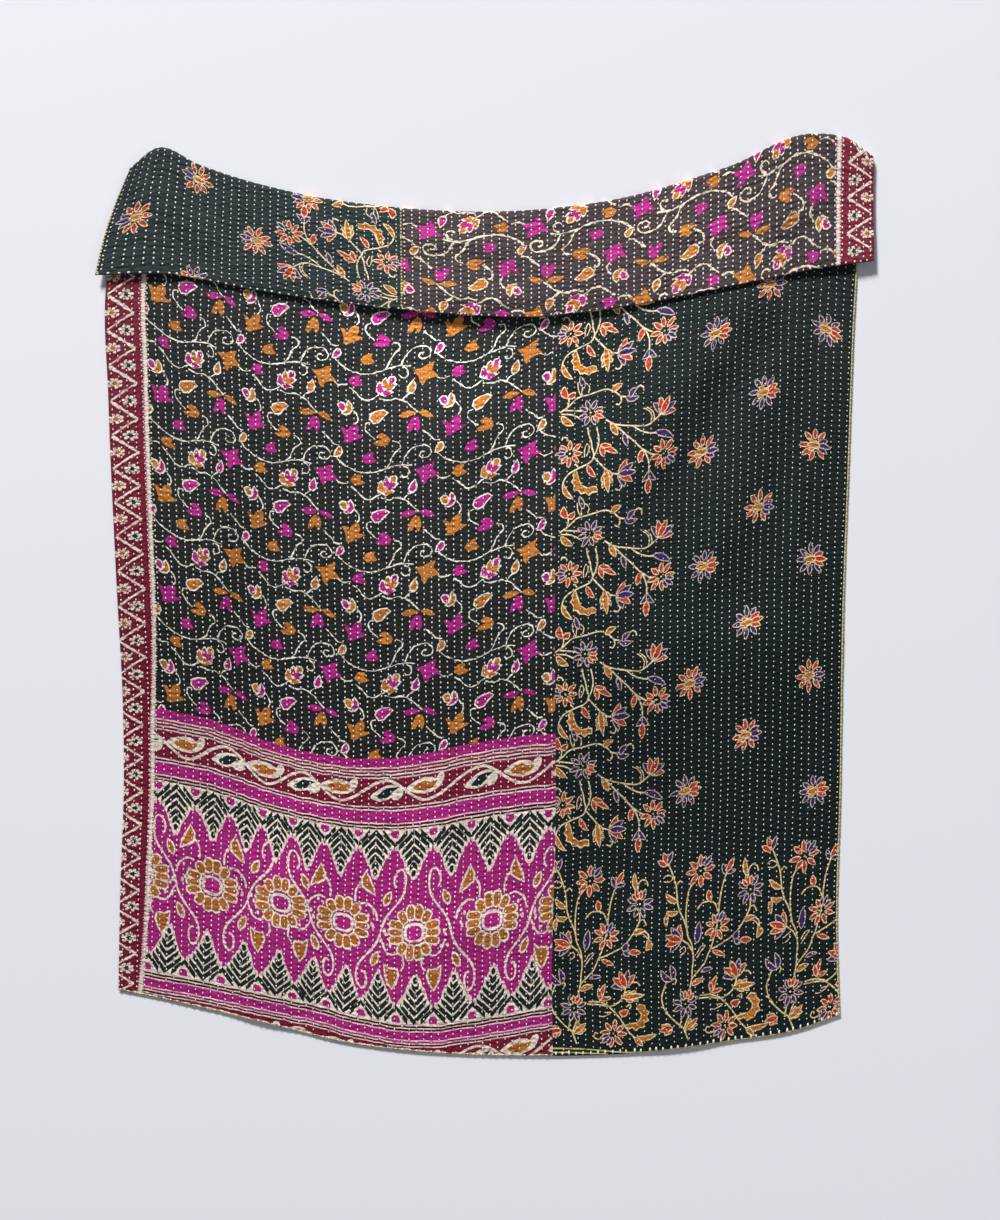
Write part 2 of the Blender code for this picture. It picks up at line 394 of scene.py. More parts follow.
def leafOutline(x0, y0, x1, y1, width, bend=0.0):
    dx, dy = x1 - x0, y1 - y0
    long = math.hypot(dx, dy)
    nx, ny = -dy / long, dx / long
    right, left = [], []
    for t in leafForm["shares"]:
        half = width / 2 * math.sin(math.pi * t ** leafForm["belly"]) ** leafForm["fullness"]
        sway = bend * math.sin(math.pi * t)
        cx, cy = x0 + dx * t + nx * sway, y0 + dy * t + ny * sway
        left.append((cx + nx * half, cy + ny * half))
        right.append((cx - nx * half, cy - ny * half))
    return [(x0, y0)] + right + [(x1, y1)] + left[::-1]


def ring(count):
    return [(math.cos(k * math.tau / count), math.sin(k * math.tau / count)) for k in range(count)]


def oval(x, y, halfWide, halfTall, count=12):
    return [(x + halfWide * a, y + halfTall * b) for a, b in ring(count)]


# Sprigs on trailing stems: u of each column of roses, and how far its rows stand above the first
sprig = {
    "wide": 168, "tall": 168, "rowPitch": 169, "firstColumn": -3,
    "stopsAt": 440,        # the v where the end border takes over
    "face": {
        "columns": (-190, -20, 150, 305, 475, 652, 825, 1000),
        "drift": (-10, -10, -7, 0, 13, 48, 80, 100),
        "firstRowV": 1115, "stem": 1.9, "pale": "cream", "span": (-2, 4), "rows": (-4, 4),
    },
    "reverse": {
        "columns": (-190, -12, 164, 340, 515, 690, 866, 1042),
        "drift": (-12, -10, -8, -4, 0, 11, 16, 20),
        "firstRowV": 945, "stem": 2.8, "pale": "ecru", "span": (-2, 4), "rows": (-3, 6),
    },
}
rose = {
    "rim": ((-16, -7), (-13, 7), (-9, 11), (-6, 8), (-3, 14), (1, 18), (4, 14), (7, 18), (15, 18),
            (18, 13), (16, 6), (20, 4), (13, -3), (9, -5), (14, -9), (5, -12), (-1, -15), (-8, -12)),
    "first": (((-12, 1), (-10, 6), (-8, 6), (-6, -2), (-4, -5), (-8, -8), (-12, -5)),
              ((-3, -7), (1, -5), (9, -9), (3, -12), (-2, -13)),
              ((7, 7), (9, 15), (14, 16), (14, 11), (11, 6))),
    "second": (((-4, 2), (-2, 11), (1, 14), (3, 6), (1, 0)),
               ((3, -2), (5, 4), (11, 5), (14, 3), (9, -3), (5, -4))),
}
# which of the two colours, whether edged in cream, and the outline
sprigShapes = (
    ("second", True,
     ((-27, -53), (-25, -45), (-15, -40), (-3, -38), (4, -43), (-5, -51), (-12, -59), (-21, -61))),
    ("second", True, ((36, -7), (38, -1), (46, 8), (49, -2), (48, -10), (43, -14), (37, -12))),
    ("second", False,
     ((44, 25), (58, 26), (68, 31), (79, 34), (75, 21), (86, 9), (74, 7), (67, 5), (61, -4), (56, 3),
      (55, 11), (51, 17))),
    ("first", False,
     ((106, 9), (110, 15), (113, 19), (125, 20), (126, 16), (123, 12), (132, 6), (125, 3), (115, 1))),
    ("first", True, ((87, -31), (92, -27), (98, -28), (101, -34), (100, -41), (96, -43), (91, -40))),
    ("second", True,
     ((103, -28), (106, -24), (111, -31), (112, -40), (107, -46), (100, -48), (94, -46), (100, -41),
      (103, -36))),
    ("second", False,
     ((21, -49), (28, -45), (37, -43), (45, -46), (50, -49), (42, -53), (33, -55), (25, -53))),
    ("second", False, ((52, -48), (59, -46), (65, -46), (72, -51), (78, -59), (69, -59), (60, -55))),
    ("first", False,
     ((33, -79), (35, -69), (40, -60), (46, -54), (53, -57), (56, -67), (55, -75), (51, -82), (48, -77),
      (45, -72), (40, -79))),
    ("first", False,
     ((91, -69), (98, -70), (103, -76), (108, -67), (115, -63), (121, -65), (122, -74), (119, -80),
      (131, -83), (124, -87), (115, -91), (105, -96), (97, -95), (98, -87), (96, -80))),
    ("second", False,
     ((-15, -81), (-7, -77), (1, -81), (7, -89), (4, -97), (-7, -99), (-17, -98), (-22, -94), (-15, -90),
      (-6, -88), (-14, -85))),
    ("first", False,
     ((-42, -123), (-37, -115), (-27, -110), (-21, -110), (-24, -116), (-17, -125), (-25, -128),
      (-35, -129))),
    ("second", True, ((79, -120), (82, -110), (87, -104), (92, -105), (94, -112), (90, -118), (84, -120))),
)
sprigStems = (
    ((-60, -1), (-50, -9), (-43, -17), (-35, -22), (-25, -21), (-17, -16), (-10, -12)),
    ((-10, -18), (-3, -20), (5, -22), (17, -20), (27, -24), (35, -29), (42, -37), (48, -43), (52, -47)),
    ((28, -24), (33, -18), (40, -14)), ((82, 9), (88, 4), (95, 3), (104, 5)),
    ((-86, 50), (-80, 42), (-70, 34), (-50, 25), (-30, 23), (-14, 26), (0, 31), (22, 35), (42, 32)),
    ((60, -79), (66, -85), (73, -92), (80, -99), (88, -100)),
    ((11, -92), (20, -95), (23, -104), (15, -111), (9, -120), (5, -130), (-3, -138)),
    ((26, -132), (30, -122), (36, -113), (43, -107), (53, -105), (64, -105), (71, -111), (73, -119),
     (68, -125), (59, -126), (54, -121), (56, -116), (62, -116)),
    ((28, 32), (35, 28), (37, 19), (33, 14), (27, 14), (24, 18)),
    ((-26, -60), (-33, -61), (-35, -68), (-33, -75), (-26, -82), (-18, -88)),
    ((114, -40), (120, -49), (121, -57), (117, -63)),
)


def sprigPlace(side, x, y):
    table = sprig[side]
    count = range(sprig["firstColumn"], sprig["firstColumn"] + len(table["columns"]))
    column, rise = (float(np.interp(x / sprig["wide"], count, table[key])) for key in ("columns", "drift"))
    return column, table["firstRowV"] + y * sprig["rowPitch"] / sprig["tall"] + rise


def drawSprigs(cloth, side):
    pale, stemWide = sprig[side]["pale"], sprig[side]["stem"]
    for row in range(*sprig[side]["rows"]):
        pair = ("magenta", "ochre") if row % 2 == 0 else ("ochre", "magenta")
        colours = dict(zip(("first", "second"), pair))
        for column in range(*sprig[side]["span"]):
            place = column * sprig["wide"], row * sprig["tall"]
            for stem in sprigStems:
                cloth.line(pale, moved(stem, *place), stemWide, step=3.8, ragged=0.7, shaken=0.75)
            for which, isEdged, points in sprigShapes:
                cloth.edged(pale if isEdged else None, colours[which], moved(points, *place), 1.9, 0.5)
            cloth.fill(pale, moved(offset(rose["rim"], 0.2), *place), rough=0.4)
            for which, colour in colours.items():
                for petal in rose[which]:
                    cloth.fill(colour, moved(offset(petal, 1.3), *place), rough=0.3)


# Patterned end of the charcoal cloth. Nominal heights run from low, the foot of the lower trees, to high,
# where the sprigs begin
endBorder = {
    "top": (
        (0, 484), (60, 486), (100, 489), (150, 495), (200, 491), (250, 483), (300, 481), (350, 482),
        (400, 486), (450, 492), (500, 500), (550, 512), (600, 525), (650, 535), (700, 541), (800, 544),
    ),
    "base": (
        (0, 42), (100, 45), (300, 52), (350, 54), (400, 50), (500, 44), (560, 48), (620, 59), (680, 70),
        (740, 80), (800, 88),
    ),
    "low": 50, "high": 481, "upperFoot": 364, "halfTree": 31.0,
    "upperTrees": (-36, 28, 94, 160, 219, 273, 328, 386, 447, 515, 582, 649, 719, 785, 850),
    "lowerTrees": (-44, 20, 80, 147, 213, 276, 337, 396, 457, 520, 588, 658, 724, 790, 850),
    "lowerLean": (0.1, 0.1, 0.11, 0.12, 0.11, 0.1, 0.08, 0.07, 0.0, 0.04, 0.05, 0.04, 0.08, 0.08, 0.08),
    "medallions": ((40, 207), (162, 209), (284, 212), (394, 202), (520, 197), (657, 201), (785, 205)),
    "vineTurns": (-30, 40, 112, 185, 252, 318, 382, 465, 535, 632, 707, 785),
    "vineSwing": 18, "vineBands": (427, -13),
}
# nominal top of each band from the hem up, and its dye
endBands = (
    (11.5, "maroon"), (13.6, "blush"), (16.6, "wine"), (18.7, "blush"), (21.6, "plum"), (23.8, "blush"),
    (37, "plum"), (39.1, "blush"), (42.5, "wine"), (44.5, "blush"), (47.9, "wine"), (50, "ivory"),
    (362, "plum"), (364.2, "ivory"), (367.6, "wine"), (369.7, "blush"), (373.2, "wine"), (375.3, "blush"),
    (395, "plum"), (397.4, "blush"), (400.3, "wine"), (402.6, "blush"), (448.4, "maroon"), (450.8, "blush"),
    (453.6, "wine"), (456.1, "blush"), (459.2, "maroon"), (461.6, "blush"), (464.6, "maroon"),
    (467, "blush"), (482, "plum"),
)
# x and distance from the foot at the two ends of each arm of a tree, from the foot up
treeArms = (
    ((22, 4), (31, 13)), ((11, 4), (31, 26)), ((0, 4), (24.5, 30)), ((0, 17), (19, 38)),
    ((0, 30.5), (15, 47)), ((0, 44), (10.5, 56)), ((0, 56), (6, 63)),
)
armHalf = 4.1
treeSide = (
    (0, 80), (3, 79), (6, 73), (9, 66), (12, 60), (15, 53), (18, 46), (21, 40), (24, 35), (27, 32),
    (31, 31),
)
treeCrown = [(-x, y) for x, y in treeSide[:0:-1]] + list(treeSide)
medallion = {
    "rim": 2.8, "hub": (14, 11.5), "hubRim": (19, 16), "hubUp": 1,
    # x, y, half width, half height and turn
    "petals": (
        (-21, 25.5, 6.4, 9.4, 0.5), (-7.2, 33, 6.2, 10.8, 0.05), (7, 33, 6.2, 10.6, -0.05),
        (20.5, 26, 6.2, 9.4, -0.5), (-21, -24, 6.2, 9.4, -0.5), (-7, -30.5, 6.2, 10.8, -0.05),
        (7.2, -30.5, 6.2, 10.4, 0.05), (20.5, -24.5, 6.4, 9.2, 0.5), (-32, 12.6, 11.4, 5.6, -0.16),
        (-33.5, 0.6, 11, 4.9, 0), (-32, -11.4, 11.4, 5.4, 0.16), (31.5, 12.8, 11.2, 5.6, 0.16),
        (33, 0.8, 10.8, 4.9, 0), (31.5, -11.2, 11.4, 5.4, -0.16),
    ),
}
scroll = (
    (-29, 70), (-25, 78), (-27, 91), (-35, 100), (-42, 97), (-45, 84), (-44, 68), (-39, 55), (-30, 43),
    (-20, 31), (-11, 18), (-5, 3), (-1, -12), (5, -24), (14, -36), (24, -47), (33, -58), (38, -70),
    (39, -83), (36, -94), (30, -100), (23, -96), (21, -83), (24, -73), (30, -72),
)
scrollLeaves = (((-8, 39), (-20, 65)), ((12, -62), (0, -35)))
scrollDots = ((-13, -6), (13, 8), (-21, -24), (-9, -24), (19, 22), (10, 28))
hearts = {
    "upper": ((-56, 54), (-52, 65), (-46, 77), (-40, 91), (-34, 79), (-35, 68), (-45, 61)),
    "lower": (
        (-50, -54), (-43, -60), (-29, -60), (-27, -69), (-32, -82), (-37, -90), (-43, -82), (-47, -69),
    ),
}
tendrils = {
    "upper": (
        ((-33, 72), (-26, 66), (-22, 55), (-22, 40)),
        ((-62, 12), (-59, 25), (-52, 33), (-42, 39), (-31, 37)),
    ),
    "lower": (
        ((-18, -37), (-16, -52), (-22, -61)), ((-22, -30), (-34, -36), (-45, -34), (-52, -24), (-57, -12)),
    ),
}
paisley = {
    "rim": (
        (-35, -1), (-24, 7), (-12, 12), (0, 14), (12, 12), (18, 9), (22, 15), (30, 17), (33, 10), (29, 1),
        (22, -6), (8, -11), (-8, -12), (-22, -8),
    ),
    "heart": ((-23, -1), (-12, 6), (-2, 8), (8, 5), (20, 6), (14, -3), (4, -7), (-10, -7)),
    "darkRim": (
        (-29, -6), (-18, 4), (-4, 11), (10, 14), (24, 10), (30, 2), (26, -8), (14, -12), (8, -8), (2, -11),
        (-12, -13), (-22, -10),
    ),
    "darkHeart": ((-17, -6), (-10, 1), (0, 8), (12, 9), (23, 9), (12, 2), (8, -2), (0, -8), (-10, -9)),
}


def borderPlace(x, y):
    top, base = (float(np.interp(x, *zip(*endBorder[key]))) for key in ("top", "base"))
    low, high = endBorder["low"], endBorder["high"]
    if y < low:
        return float(x), y + base - low
    return float(x), base + (y - low) * (top - base) / (high - low)


def drawBands(cloth):
    marks = [(x, cloth.dice.uniform(-0.9, 0.9)) for x in range(30, 798, 12)]
    low = -60      # well past the hem
    for high, dye in endBands:
        foot, head = ([(x, level + sway) for x, sway in marks] for level in (low, high))
        cloth.fill(dye, foot + head[::-1])
        low = high


# Outline of one arm, cut upright where it meets its twin
def limb(arm):
    (ax, ay), (bx, by) = arm
    mx, my = mix(ax, bx, 0.5), mix(ay, by, 0.5)
    return [(ax, ay - armHalf), (mx, my - armHalf * 1.25), (bx, by - armHalf * 1.1),
            (bx + 0.6, by + armHalf), (mx, my + armHalf * 1.25), (ax, ay + armHalf * 1.3)]


# Dye runs along the warp, so a drawn edge ends in short upright teeth
def feathered(cloth, points, reach, every=2.4, closed=True):
    out = []
    for (ax, ay), (bx, by) in zip(points, points[1:] + (points[:1] if closed else [])):
        count = max(1, round(abs(bx - ax) / every))
        out += [(mix(ax, bx, k / count), mix(ay, by, k / count) + cloth.dice.uniform(-reach, reach))
                for k in range(count)]
    return out


def drawTree(cloth, x, leftHalf, rightHalf, foot, up, lean):
    def place(dx, away):
        wide = (rightHalf if dx > 0 else leftHalf) / endBorder["halfTree"]
        return x + dx * wide + lean * away, foot + up * away

    # dye, how far past the tree's own outline, and how far its fringe strays
    for dye, further, reach in (("blush", 3.4, 4.8), ("ivory", 0, 2.4)):
        crown = [place(dx, away + further) for dx, away in treeCrown]
        fringe = feathered(cloth, crown, reach, 2.2, closed=False)
        cloth.fill(dye, [place(-32, 0)] + fringe + [place(32, 0)])
    for arm in treeArms:
        for side in (-1, 1):
            cloth.fill("ink", [place(side * dx, away) for dx, away in limb(arm)], rough=0.6)
    cloth.fill("ink", oval(*place(0, 71), 4.0, 5.6), rough=0.6)


def drawGap(cloth, x, foot, up):
    square = ((-7, 2), (7, 2), (7.5, 9), (3.5, 13.5), (-3.5, 13.5), (-7.5, 9))
    square = [(x + dx, foot + up * away) for dx, away in square]
    cloth.fill("ivory", offset(square, 3.2), rough=0.5)
    cloth.fill("plum", square, rough=0.5)


# An oval with squarer shoulders
def pad(x, y, halfWide, halfTall, turn=0.0, count=14):
    c, s = math.cos(turn), math.sin(turn)
    full = [(halfWide * math.copysign(abs(a) ** 0.75, a), halfTall * math.copysign(abs(b) ** 0.75, b))
            for a, b in ring(count)]
    return [(x + c * px - s * py, y + s * px + c * py) for px, py in full]


def drawMedallion(cloth, x, y):
    rim = medallion["rim"]
    for px, py, halfWide, halfTall, turn in medallion["petals"]:
        edge = pad(x + px, y + py, halfWide + rim, halfTall + rim, turn)
        cloth.fill("ivory", feathered(cloth, edge, 0.9), rough=0.4)
    cloth.fill("ivory", pad(x, y + medallion["hubUp"], *medallion["hubRim"]), rough=0.6)
    for px, py, *form in medallion["petals"]:
        cloth.fill("rust", pad(x + px, y + py, *form), rough=0.7)
    cloth.fill("plum", pad(x, y + medallion["hubUp"], *medallion["hub"], count=18), rough=0.7)


def drawMedallionVines(cloth, x, y, which):
    for side in (-1, 1):
        place = x - 2, y, -side
        heart = moved(hearts[which], *place)
        cloth.fill("ivory", feathered(cloth, offset(heart, 2.8), 0.9), rough=0.4)
        cloth.fill("rust", heart, rough=0.6)
        for tendril in tendrils[which]:
            cloth.line("ivory", moved(tendril, *place), 3.2, step=4, ragged=0.4)
        cloth.fill("ivory", pad(x + side * 53, y + 1, 2.6, 4, count=8), rough=0.5)


def drawScroll(cloth, x, y, side):
    cloth.line("ivory", moved(scroll, x, y, side), 3.5, step=4, ragged=0.4)
    for ends in scrollLeaves:
        (ax, ay), (bx, by) = moved(ends, x, y, side)
        cloth.leaf("ivory", ax, ay, bx, by, 15)
        cloth.leaf("rust", mix(ax, bx, 0.12), mix(ay, by, 0.12), mix(ax, bx, 0.88), mix(ay, by, 0.88), 9)
    for px, py in moved(scrollDots, x, y, side):
        cloth.fill("ivory", pad(px, py, 2.1, 3.4, count=8), rough=0.5)


def drawVineBand(cloth, centre):
    turns = endBorder["vineTurns"]
    wave = []
    for k, (a, b) in enumerate(zip(turns, turns[1:])):
        swing = endBorder["vineSwing"] * (-1 if k % 2 == 0 else 1)
        for share, height in ((0, 1), (0.28, 0.62), (0.72, -0.62)):
            wave.append((mix(a, b, share), centre + swing * height))
    cloth.line("ivory", wave, 4.4, step=5, ragged=0.2)
    kinds = (("rim", "heart", "rust", 4), ("darkRim", "darkHeart", "ink", -3))
    for k, x in enumerate(turns):
        rim, heart, dye, rise = kinds[k % 2]
        cloth.fill("ivory", rounded(moved(paisley[rim], x, centre + rise)), rough=0.5)
        cloth.fill(dye, rounded(moved(paisley[heart], x, centre + rise)), rough=0.7)


def drawEndBorder(cloth):
    drawBands(cloth)
    for centre in endBorder["vineBands"]:
        drawVineBand(cloth, centre)
    middles = endBorder["medallions"]
    for k, ((ax, ay), (bx, by)) in enumerate(zip(middles, middles[1:])):
        drawScroll(cloth, (ax + bx) / 2, (ay + by) / 2, 1 if k % 2 == 0 else -1)
    for k, (x, y) in enumerate(middles):
        drawMedallionVines(cloth, x, y, "upper" if k % 2 else "lower")
        drawMedallion(cloth, x, y)
    for trees, feet, up in (("lowerTrees", "low", 1), ("upperTrees", "upperFoot", -1)):
        xs, foot = endBorder[trees], endBorder[feet]
        leans = endBorder["lowerLean"] if up > 0 else (0,) * len(xs)
        for before, x, after, lean in zip(xs, xs[1:], xs[2:], leans[1:]):
            drawTree(cloth, x, (x - before) / 2, (after - x) / 2, foot, up, lean)
        for a, b in zip(xs, xs[1:]):
            drawGap(cloth, (a + b) / 2, foot, up)


# Woven selvedge: zigzag with a flower in each opening. Down the strip: v and how far in from the edge
selvedge = {
    "inner": ((-10, 35), (60, 42), (150, 47), (450, 50), (560, 56), (650, 61), (1240, 64), (1700, 64)),
    "shift": (
        (-10, -9), (60, -4), (120, 0), (440, 0), (500, 3), (560, 8), (620, 12), (680, 15), (1700, 15),
    ),
    "shear": ((-10, -0.2), (1430, 0.72), (1443, -0.7), (1643, 0.12), (1700, 0.12)),
    "tips": (
        -40, 15, 67, 121, 176, 233, 289, 347, 405, 462, 519, 577, 634, 693, 753, 812, 869, 926, 983, 1044,
        1104, 1165, 1226, 1287, 1348, 1409, 1470, 1531, 1592, 1653,
    ),
    "tipIn": 34, "notchIn": -11, "flowerIn": 21, "sideIn": -3, "midIn": 20,
    "thread": 3.8, "every": 4.6, "past": 8.0, "corner": (-6, -12),
}
# dye of each toothed edge, and how far in from the line its teeth and the notches between them reach
selvedgeTeeth = (
    ("ivory", (5, 8.5), (3, 5)), ("blush", (0.6, 1.8), (-0.8, 0.4)), ("maroon", (-0.4, -1.6), (-2.8, -5.0)),
)
selvedgeFlower = ((-10.4, 1.8), (-8.4, -4.4), (-3.8, 6.2), (3.6, 6.4), (9.8, 2.6), (9.6, -3.4), (2.4, -6.6))
selvedgeHeart = (
    (-7, 0.8), (-2.8, 1.8), (-3, 5.4), (0.4, 3), (3.4, 5), (3.2, 1.5), (7.2, 0.5), (3.4, -1.7), (3.6, -5),
    (0, -3), (-3.2, -4.8), (-2.8, -1.5),
)
hemThread = ((0, 2), (250, 2), (500, 2), (765, 2))     # along the hem of the charcoal cloth


def drawSelvedge(cloth):
    def table(name, v):
        return float(np.interp(v, *zip(*selvedge[name])))

    length = quilt["length"] + selvedge["past"]
    edges = {dye: [] for dye, _, _ in selvedgeTeeth}
    v = -selvedge["past"]
    while v < length:
        reach = table("inner", v)
        for dye, tooth, notch in selvedgeTeeth:
            edges[dye] += [(reach + cloth.dice.uniform(*tooth), v),
                           (reach + cloth.dice.uniform(*notch), v + selvedge["every"] / 2)]
        v += selvedge["every"]
    for dye, edge in edges.items():
        cloth.fill(dye, [selvedge["corner"]] + edge + [(selvedge["corner"][0], length)])
    tips = selvedge["tips"]
    tipIn, notchIn, middle = selvedge["tipIn"], selvedge["notchIn"], selvedge["midIn"]
    for below, tip, above in zip(tips, tips[1:], tips[2:]):
        shift, shear = table("shift", tip), table("shear", tip)
        up, down = (above - tip) / 2, (tip - below) / 2

        def place(points, inward=0, along=0):
            return [(inward + x + shift, tip + (along + y) - shear * (inward + x - middle))
                    for x, y in points]

        for reach in (up, -down):
            leg = place(((tipIn, 0), ((tipIn + notchIn) / 2, reach / 2 * 0.94), (notchIn, reach)))
            cloth.line("ivory", leg, selvedge["thread"], step=3.4, ragged=0.42)
        for dye, inward, along in (("ink", selvedge["flowerIn"], up), ("rust", selvedge["sideIn"], 0)):
            for px, py in selvedgeFlower:
                cloth.fill("ivory", place(pad(px, py, 3.1, 2.4, count=7), inward, along), rough=0.4)
            cloth.fill("ivory", place(pad(0, 0, 8, 5, count=10), inward, along), rough=0.3)
            cloth.fill(dye, place(selvedgeHeart, inward, along), rough=0.3)


# Green cloth: a flowering vine, sprays along the hem and single buds
rims = {"orange": "peach", "purple": "lilac", "ochre": "stem"}
petalMargin = 1.3
# Angles of the petals from the odd ones. Where a petal starts, how far it reaches and its width are shares
# of the flower's size, and three odd petals have their own
daisy = {
    "angles": range(45, 360, 45), "near": 0.27, "reach": (0.9, 1.03), "wide": 0.31, "margin": petalMargin,
    "oddLean": 22, "oddNear": 0.34, "oddReach": 0.9, "middleReach": 1.06, "oddWide": 0.28, "eye": 0.07,
}
bud = {
    "angles": (56, 95, 134, 178, 219, 259, 303), "near": 0.34, "reach": (0.92, 1.05), "wide": 0.29,
    "margin": 1.15, "oddLean": 27, "oddNear": 0.18, "oddReach": 0.88, "middleReach": 1.0, "oddWide": 0.33,
    "size": 27, "tilt": (-14, 6),
}
tulip = {
    # which of the two dyes, lean and reach of each petal
    "petals": ((0, -62, 0.85), (1, 62, 0.85), (1, -32, 0.98), (0, 32, 0.95), (0, 0, 1.0)),
    "wide": 0.37, "bend": 0.03,
}
lobed = {
    # start and reach along the leaf, and the side the lobe leans to
    "lobes": ((0.1, 0.42, 1), (0.18, 0.5, -1), (0.36, 0.66, 1), (0.44, 0.74, -1), (0.0, 1.0, 0)),
    "lean": 0.62, "wide": 0.5, "middleWide": 0.62, "from": 14,      # leaves this wide have lobes
}


def drawPetal(cloth, x, y, size, angle, near, far, wide, dye, margin=petalMargin):
    c, s = math.cos(math.radians(angle)) * size, math.sin(math.radians(angle)) * size
    cloth.leaf(dye, x + near * c, y + near * s, x + far * c, y + far * s, size * wide, rims[dye],
               margin=margin)


def drawPetals(cloth, flower, x, y, size, main, odd, turn):
    for angle in flower["angles"]:
        drawPetal(cloth, x, y, size, turn + angle + cloth.dice.uniform(-5, 5), flower["near"],
                  cloth.dice.uniform(*flower["reach"]), flower["wide"], main, flower["margin"])
    for lean in (-flower["oddLean"], flower["oddLean"], 0):
        far = flower["oddReach"] if lean else flower["middleReach"]
        drawPetal(cloth, x, y, size, turn + lean, flower["oddNear"], far, flower["oddWide"], odd)


def drawDaisy(cloth, x, y, size, main, odd, turn):
    drawPetals(cloth, daisy, x, y, size, main, odd, turn)
    cloth.fill("stem", oval(x, y, size * daisy["eye"], size * daisy["eye"], 6), rough=0.3)


def drawBud(cloth, x, y, main, odd, turn):
    drawPetals(cloth, bud, x, y, bud["size"], main, odd, turn)
    for lean in (-44, 44, 0):
        drawPetal(cloth, x, y, bud["size"], turn + 180 + lean, -0.3, 0.5, 0.34, "ochre", 1.1)


def drawTulip(cloth, x, y, heading, size, *pair):
    for which, lean, reach in tulip["petals"]:
        turn = math.radians(heading + lean)
        dye = pair[which]
        cloth.leaf(dye, x, y, x + size * reach * math.cos(turn), y + size * reach * math.sin(turn),
                   size * tulip["wide"], rims[dye], bend=-lean * tulip["bend"], margin=petalMargin)


# A leaf with lobes down both sides
def drawLobed(cloth, dye, x0, y0, x1, y1, width):
    along, across = (x1 - x0, y1 - y0), (y0 - y1, x1 - x0)
    long = math.hypot(*along)
    for start, reach, side in lobed["lobes"]:
        lean = side * width * lobed["lean"] / long
        wide = lobed["wide"] if side else lobed["middleWide"]
        cloth.leaf(dye, x0 + along[0] * start, y0 + along[1] * start,
                   x0 + along[0] * reach + across[0] * lean, y0 + along[1] * reach + across[1] * lean,
                   width * wide, rims[dye], margin=petalMargin)


# Leaves: dye, from, to, width, bend. Daisies: x, y, size, dye, odd petals' dye, turn. Tulips: x, y, heading,
# size and the two dyes
vine = {
    "dye": "stem",
    "places": ((772, 1080), (772, 878), (765, 677), (760, 490), (770, 1282), (770, 1484)),
    "reverseRise": 134,
    "stems": (
        ((0, 3), (15, 12), (30, 24), (50, 27), (75, 31), (88, 27), (95, 22), (103, 14), (112, 11)),
        ((12, 10), (14, 15), (15, 22), (14, 30)), ((103, 14), (104, 6), (100, 0), (95, 3)),
        ((131, 22), (136, 24), (141, 20), (142, 14)), ((8, 6), (27, 3), (38, 1)),
        ((2, 0), (20, -3), (36, -12)),
        ((78, -20), (90, -29), (105, -35), (120, -39), (135, -43), (148, -45), (160, -40), (172, -32)),
        ((125, -41), (135, -50), (150, -58), (163, -61)),
        ((85, -28), (98, -37), (110, -50), (125, -65), (138, -80), (150, -90), (160, -96), (174, -101)),
        ((142, -83), (148, -95), (152, -108), (152, -124)),
        ((47, -28), (49, -40), (53, -52), (55, -65), (58, -75), (55, -84), (48, -89), (38, -92), (25, -97),
         (15, -102), (8, -110), (5, -120), (8, -132)),
        ((62, -30), (65, -42), (66, -56), (62, -70), (57, -79)),
        ((58, -80), (65, -88), (73, -97), (80, -105), (90, -112), (100, -115)),
        ((103, -126), (106, -136), (102, -142), (95, -139)), ((3, -44), (5, -39), (12, -41), (14, -46)),
        ((26, -86), (31, -92)),
    ),
    "thin": (
        ((30, 50), (31, 38), (36, 27), (38, 40), (43, 47), (50, 40), (48, 30)),
        ((143, -16), (151, -22), (156, -32), (154, -42)), ((147, -15), (157, -24), (160, -35), (159, -42)),
        ((42, -77), (42, -65), (46, -55), (50, -63), (45, -76)),
    ),
    "leaves": (
        ("ochre", 2, -4, 23, -21, 12, -2), ("ochre", 88, 24, 106, 34, 11, 2),
        ("ochre", 87, -29, 98, -50, 11, 0), ("orange", 12, 26, 7, 46, 13, 3),
        ("orange", 13, 27, 26, 34, 11, -2), ("purple", 41, 39, 34, 60, 9, 0),
        ("purple", 112, 9, 134, 6, 10, -3), ("purple", 118, 8, 131, 22, 10, 3),
        ("purple", 108, -50, 115, -72, 9, 0), ("purple", 162, -59, 193, -76, 12, 2),
        ("orange", 140, -84, 135, -104, 11, 0), ("purple", 152, -122, 141, -136, 9, 3),
        ("purple", 153, -122, 165, -138, 9, -3), ("orange", 152, -134, 151, -158, 12, 0),
        ("ochre", 78, -101, 83, -143, 15, 0), ("ochre", 5, -118, 23, -145, 9, -4),
        ("orange", 47, -92, 61, -113, 10, -2), ("orange", 70, -62, 75, -82, 10, 0),
        ("orange", 70, -62, 99, -80, 9, 0), ("orange", 69, -61, 88, -66, 8, 0),
    ),
    "curl": (
        (28, -96), (22, -104), (24, -110), (20, -115), (25, -122), (24, -129), (32, -131), (36, -138),
        (44, -137), (50, -142), (56, -138), (64, -138), (63, -130), (57, -128), (46, -130), (36, -123),
        (32, -110),
    ),
    "daisies": (
        (52, -4, 24, "purple", "orange", -28), (17, -68, 23, "orange", "purple", 175),
        (177, -98, 25, "orange", "purple", -40),
    ),
    "tulips": ((172, -32, 62, 29, "orange", "purple"), (100, -115, -3, 30, "purple", "orange")),
}
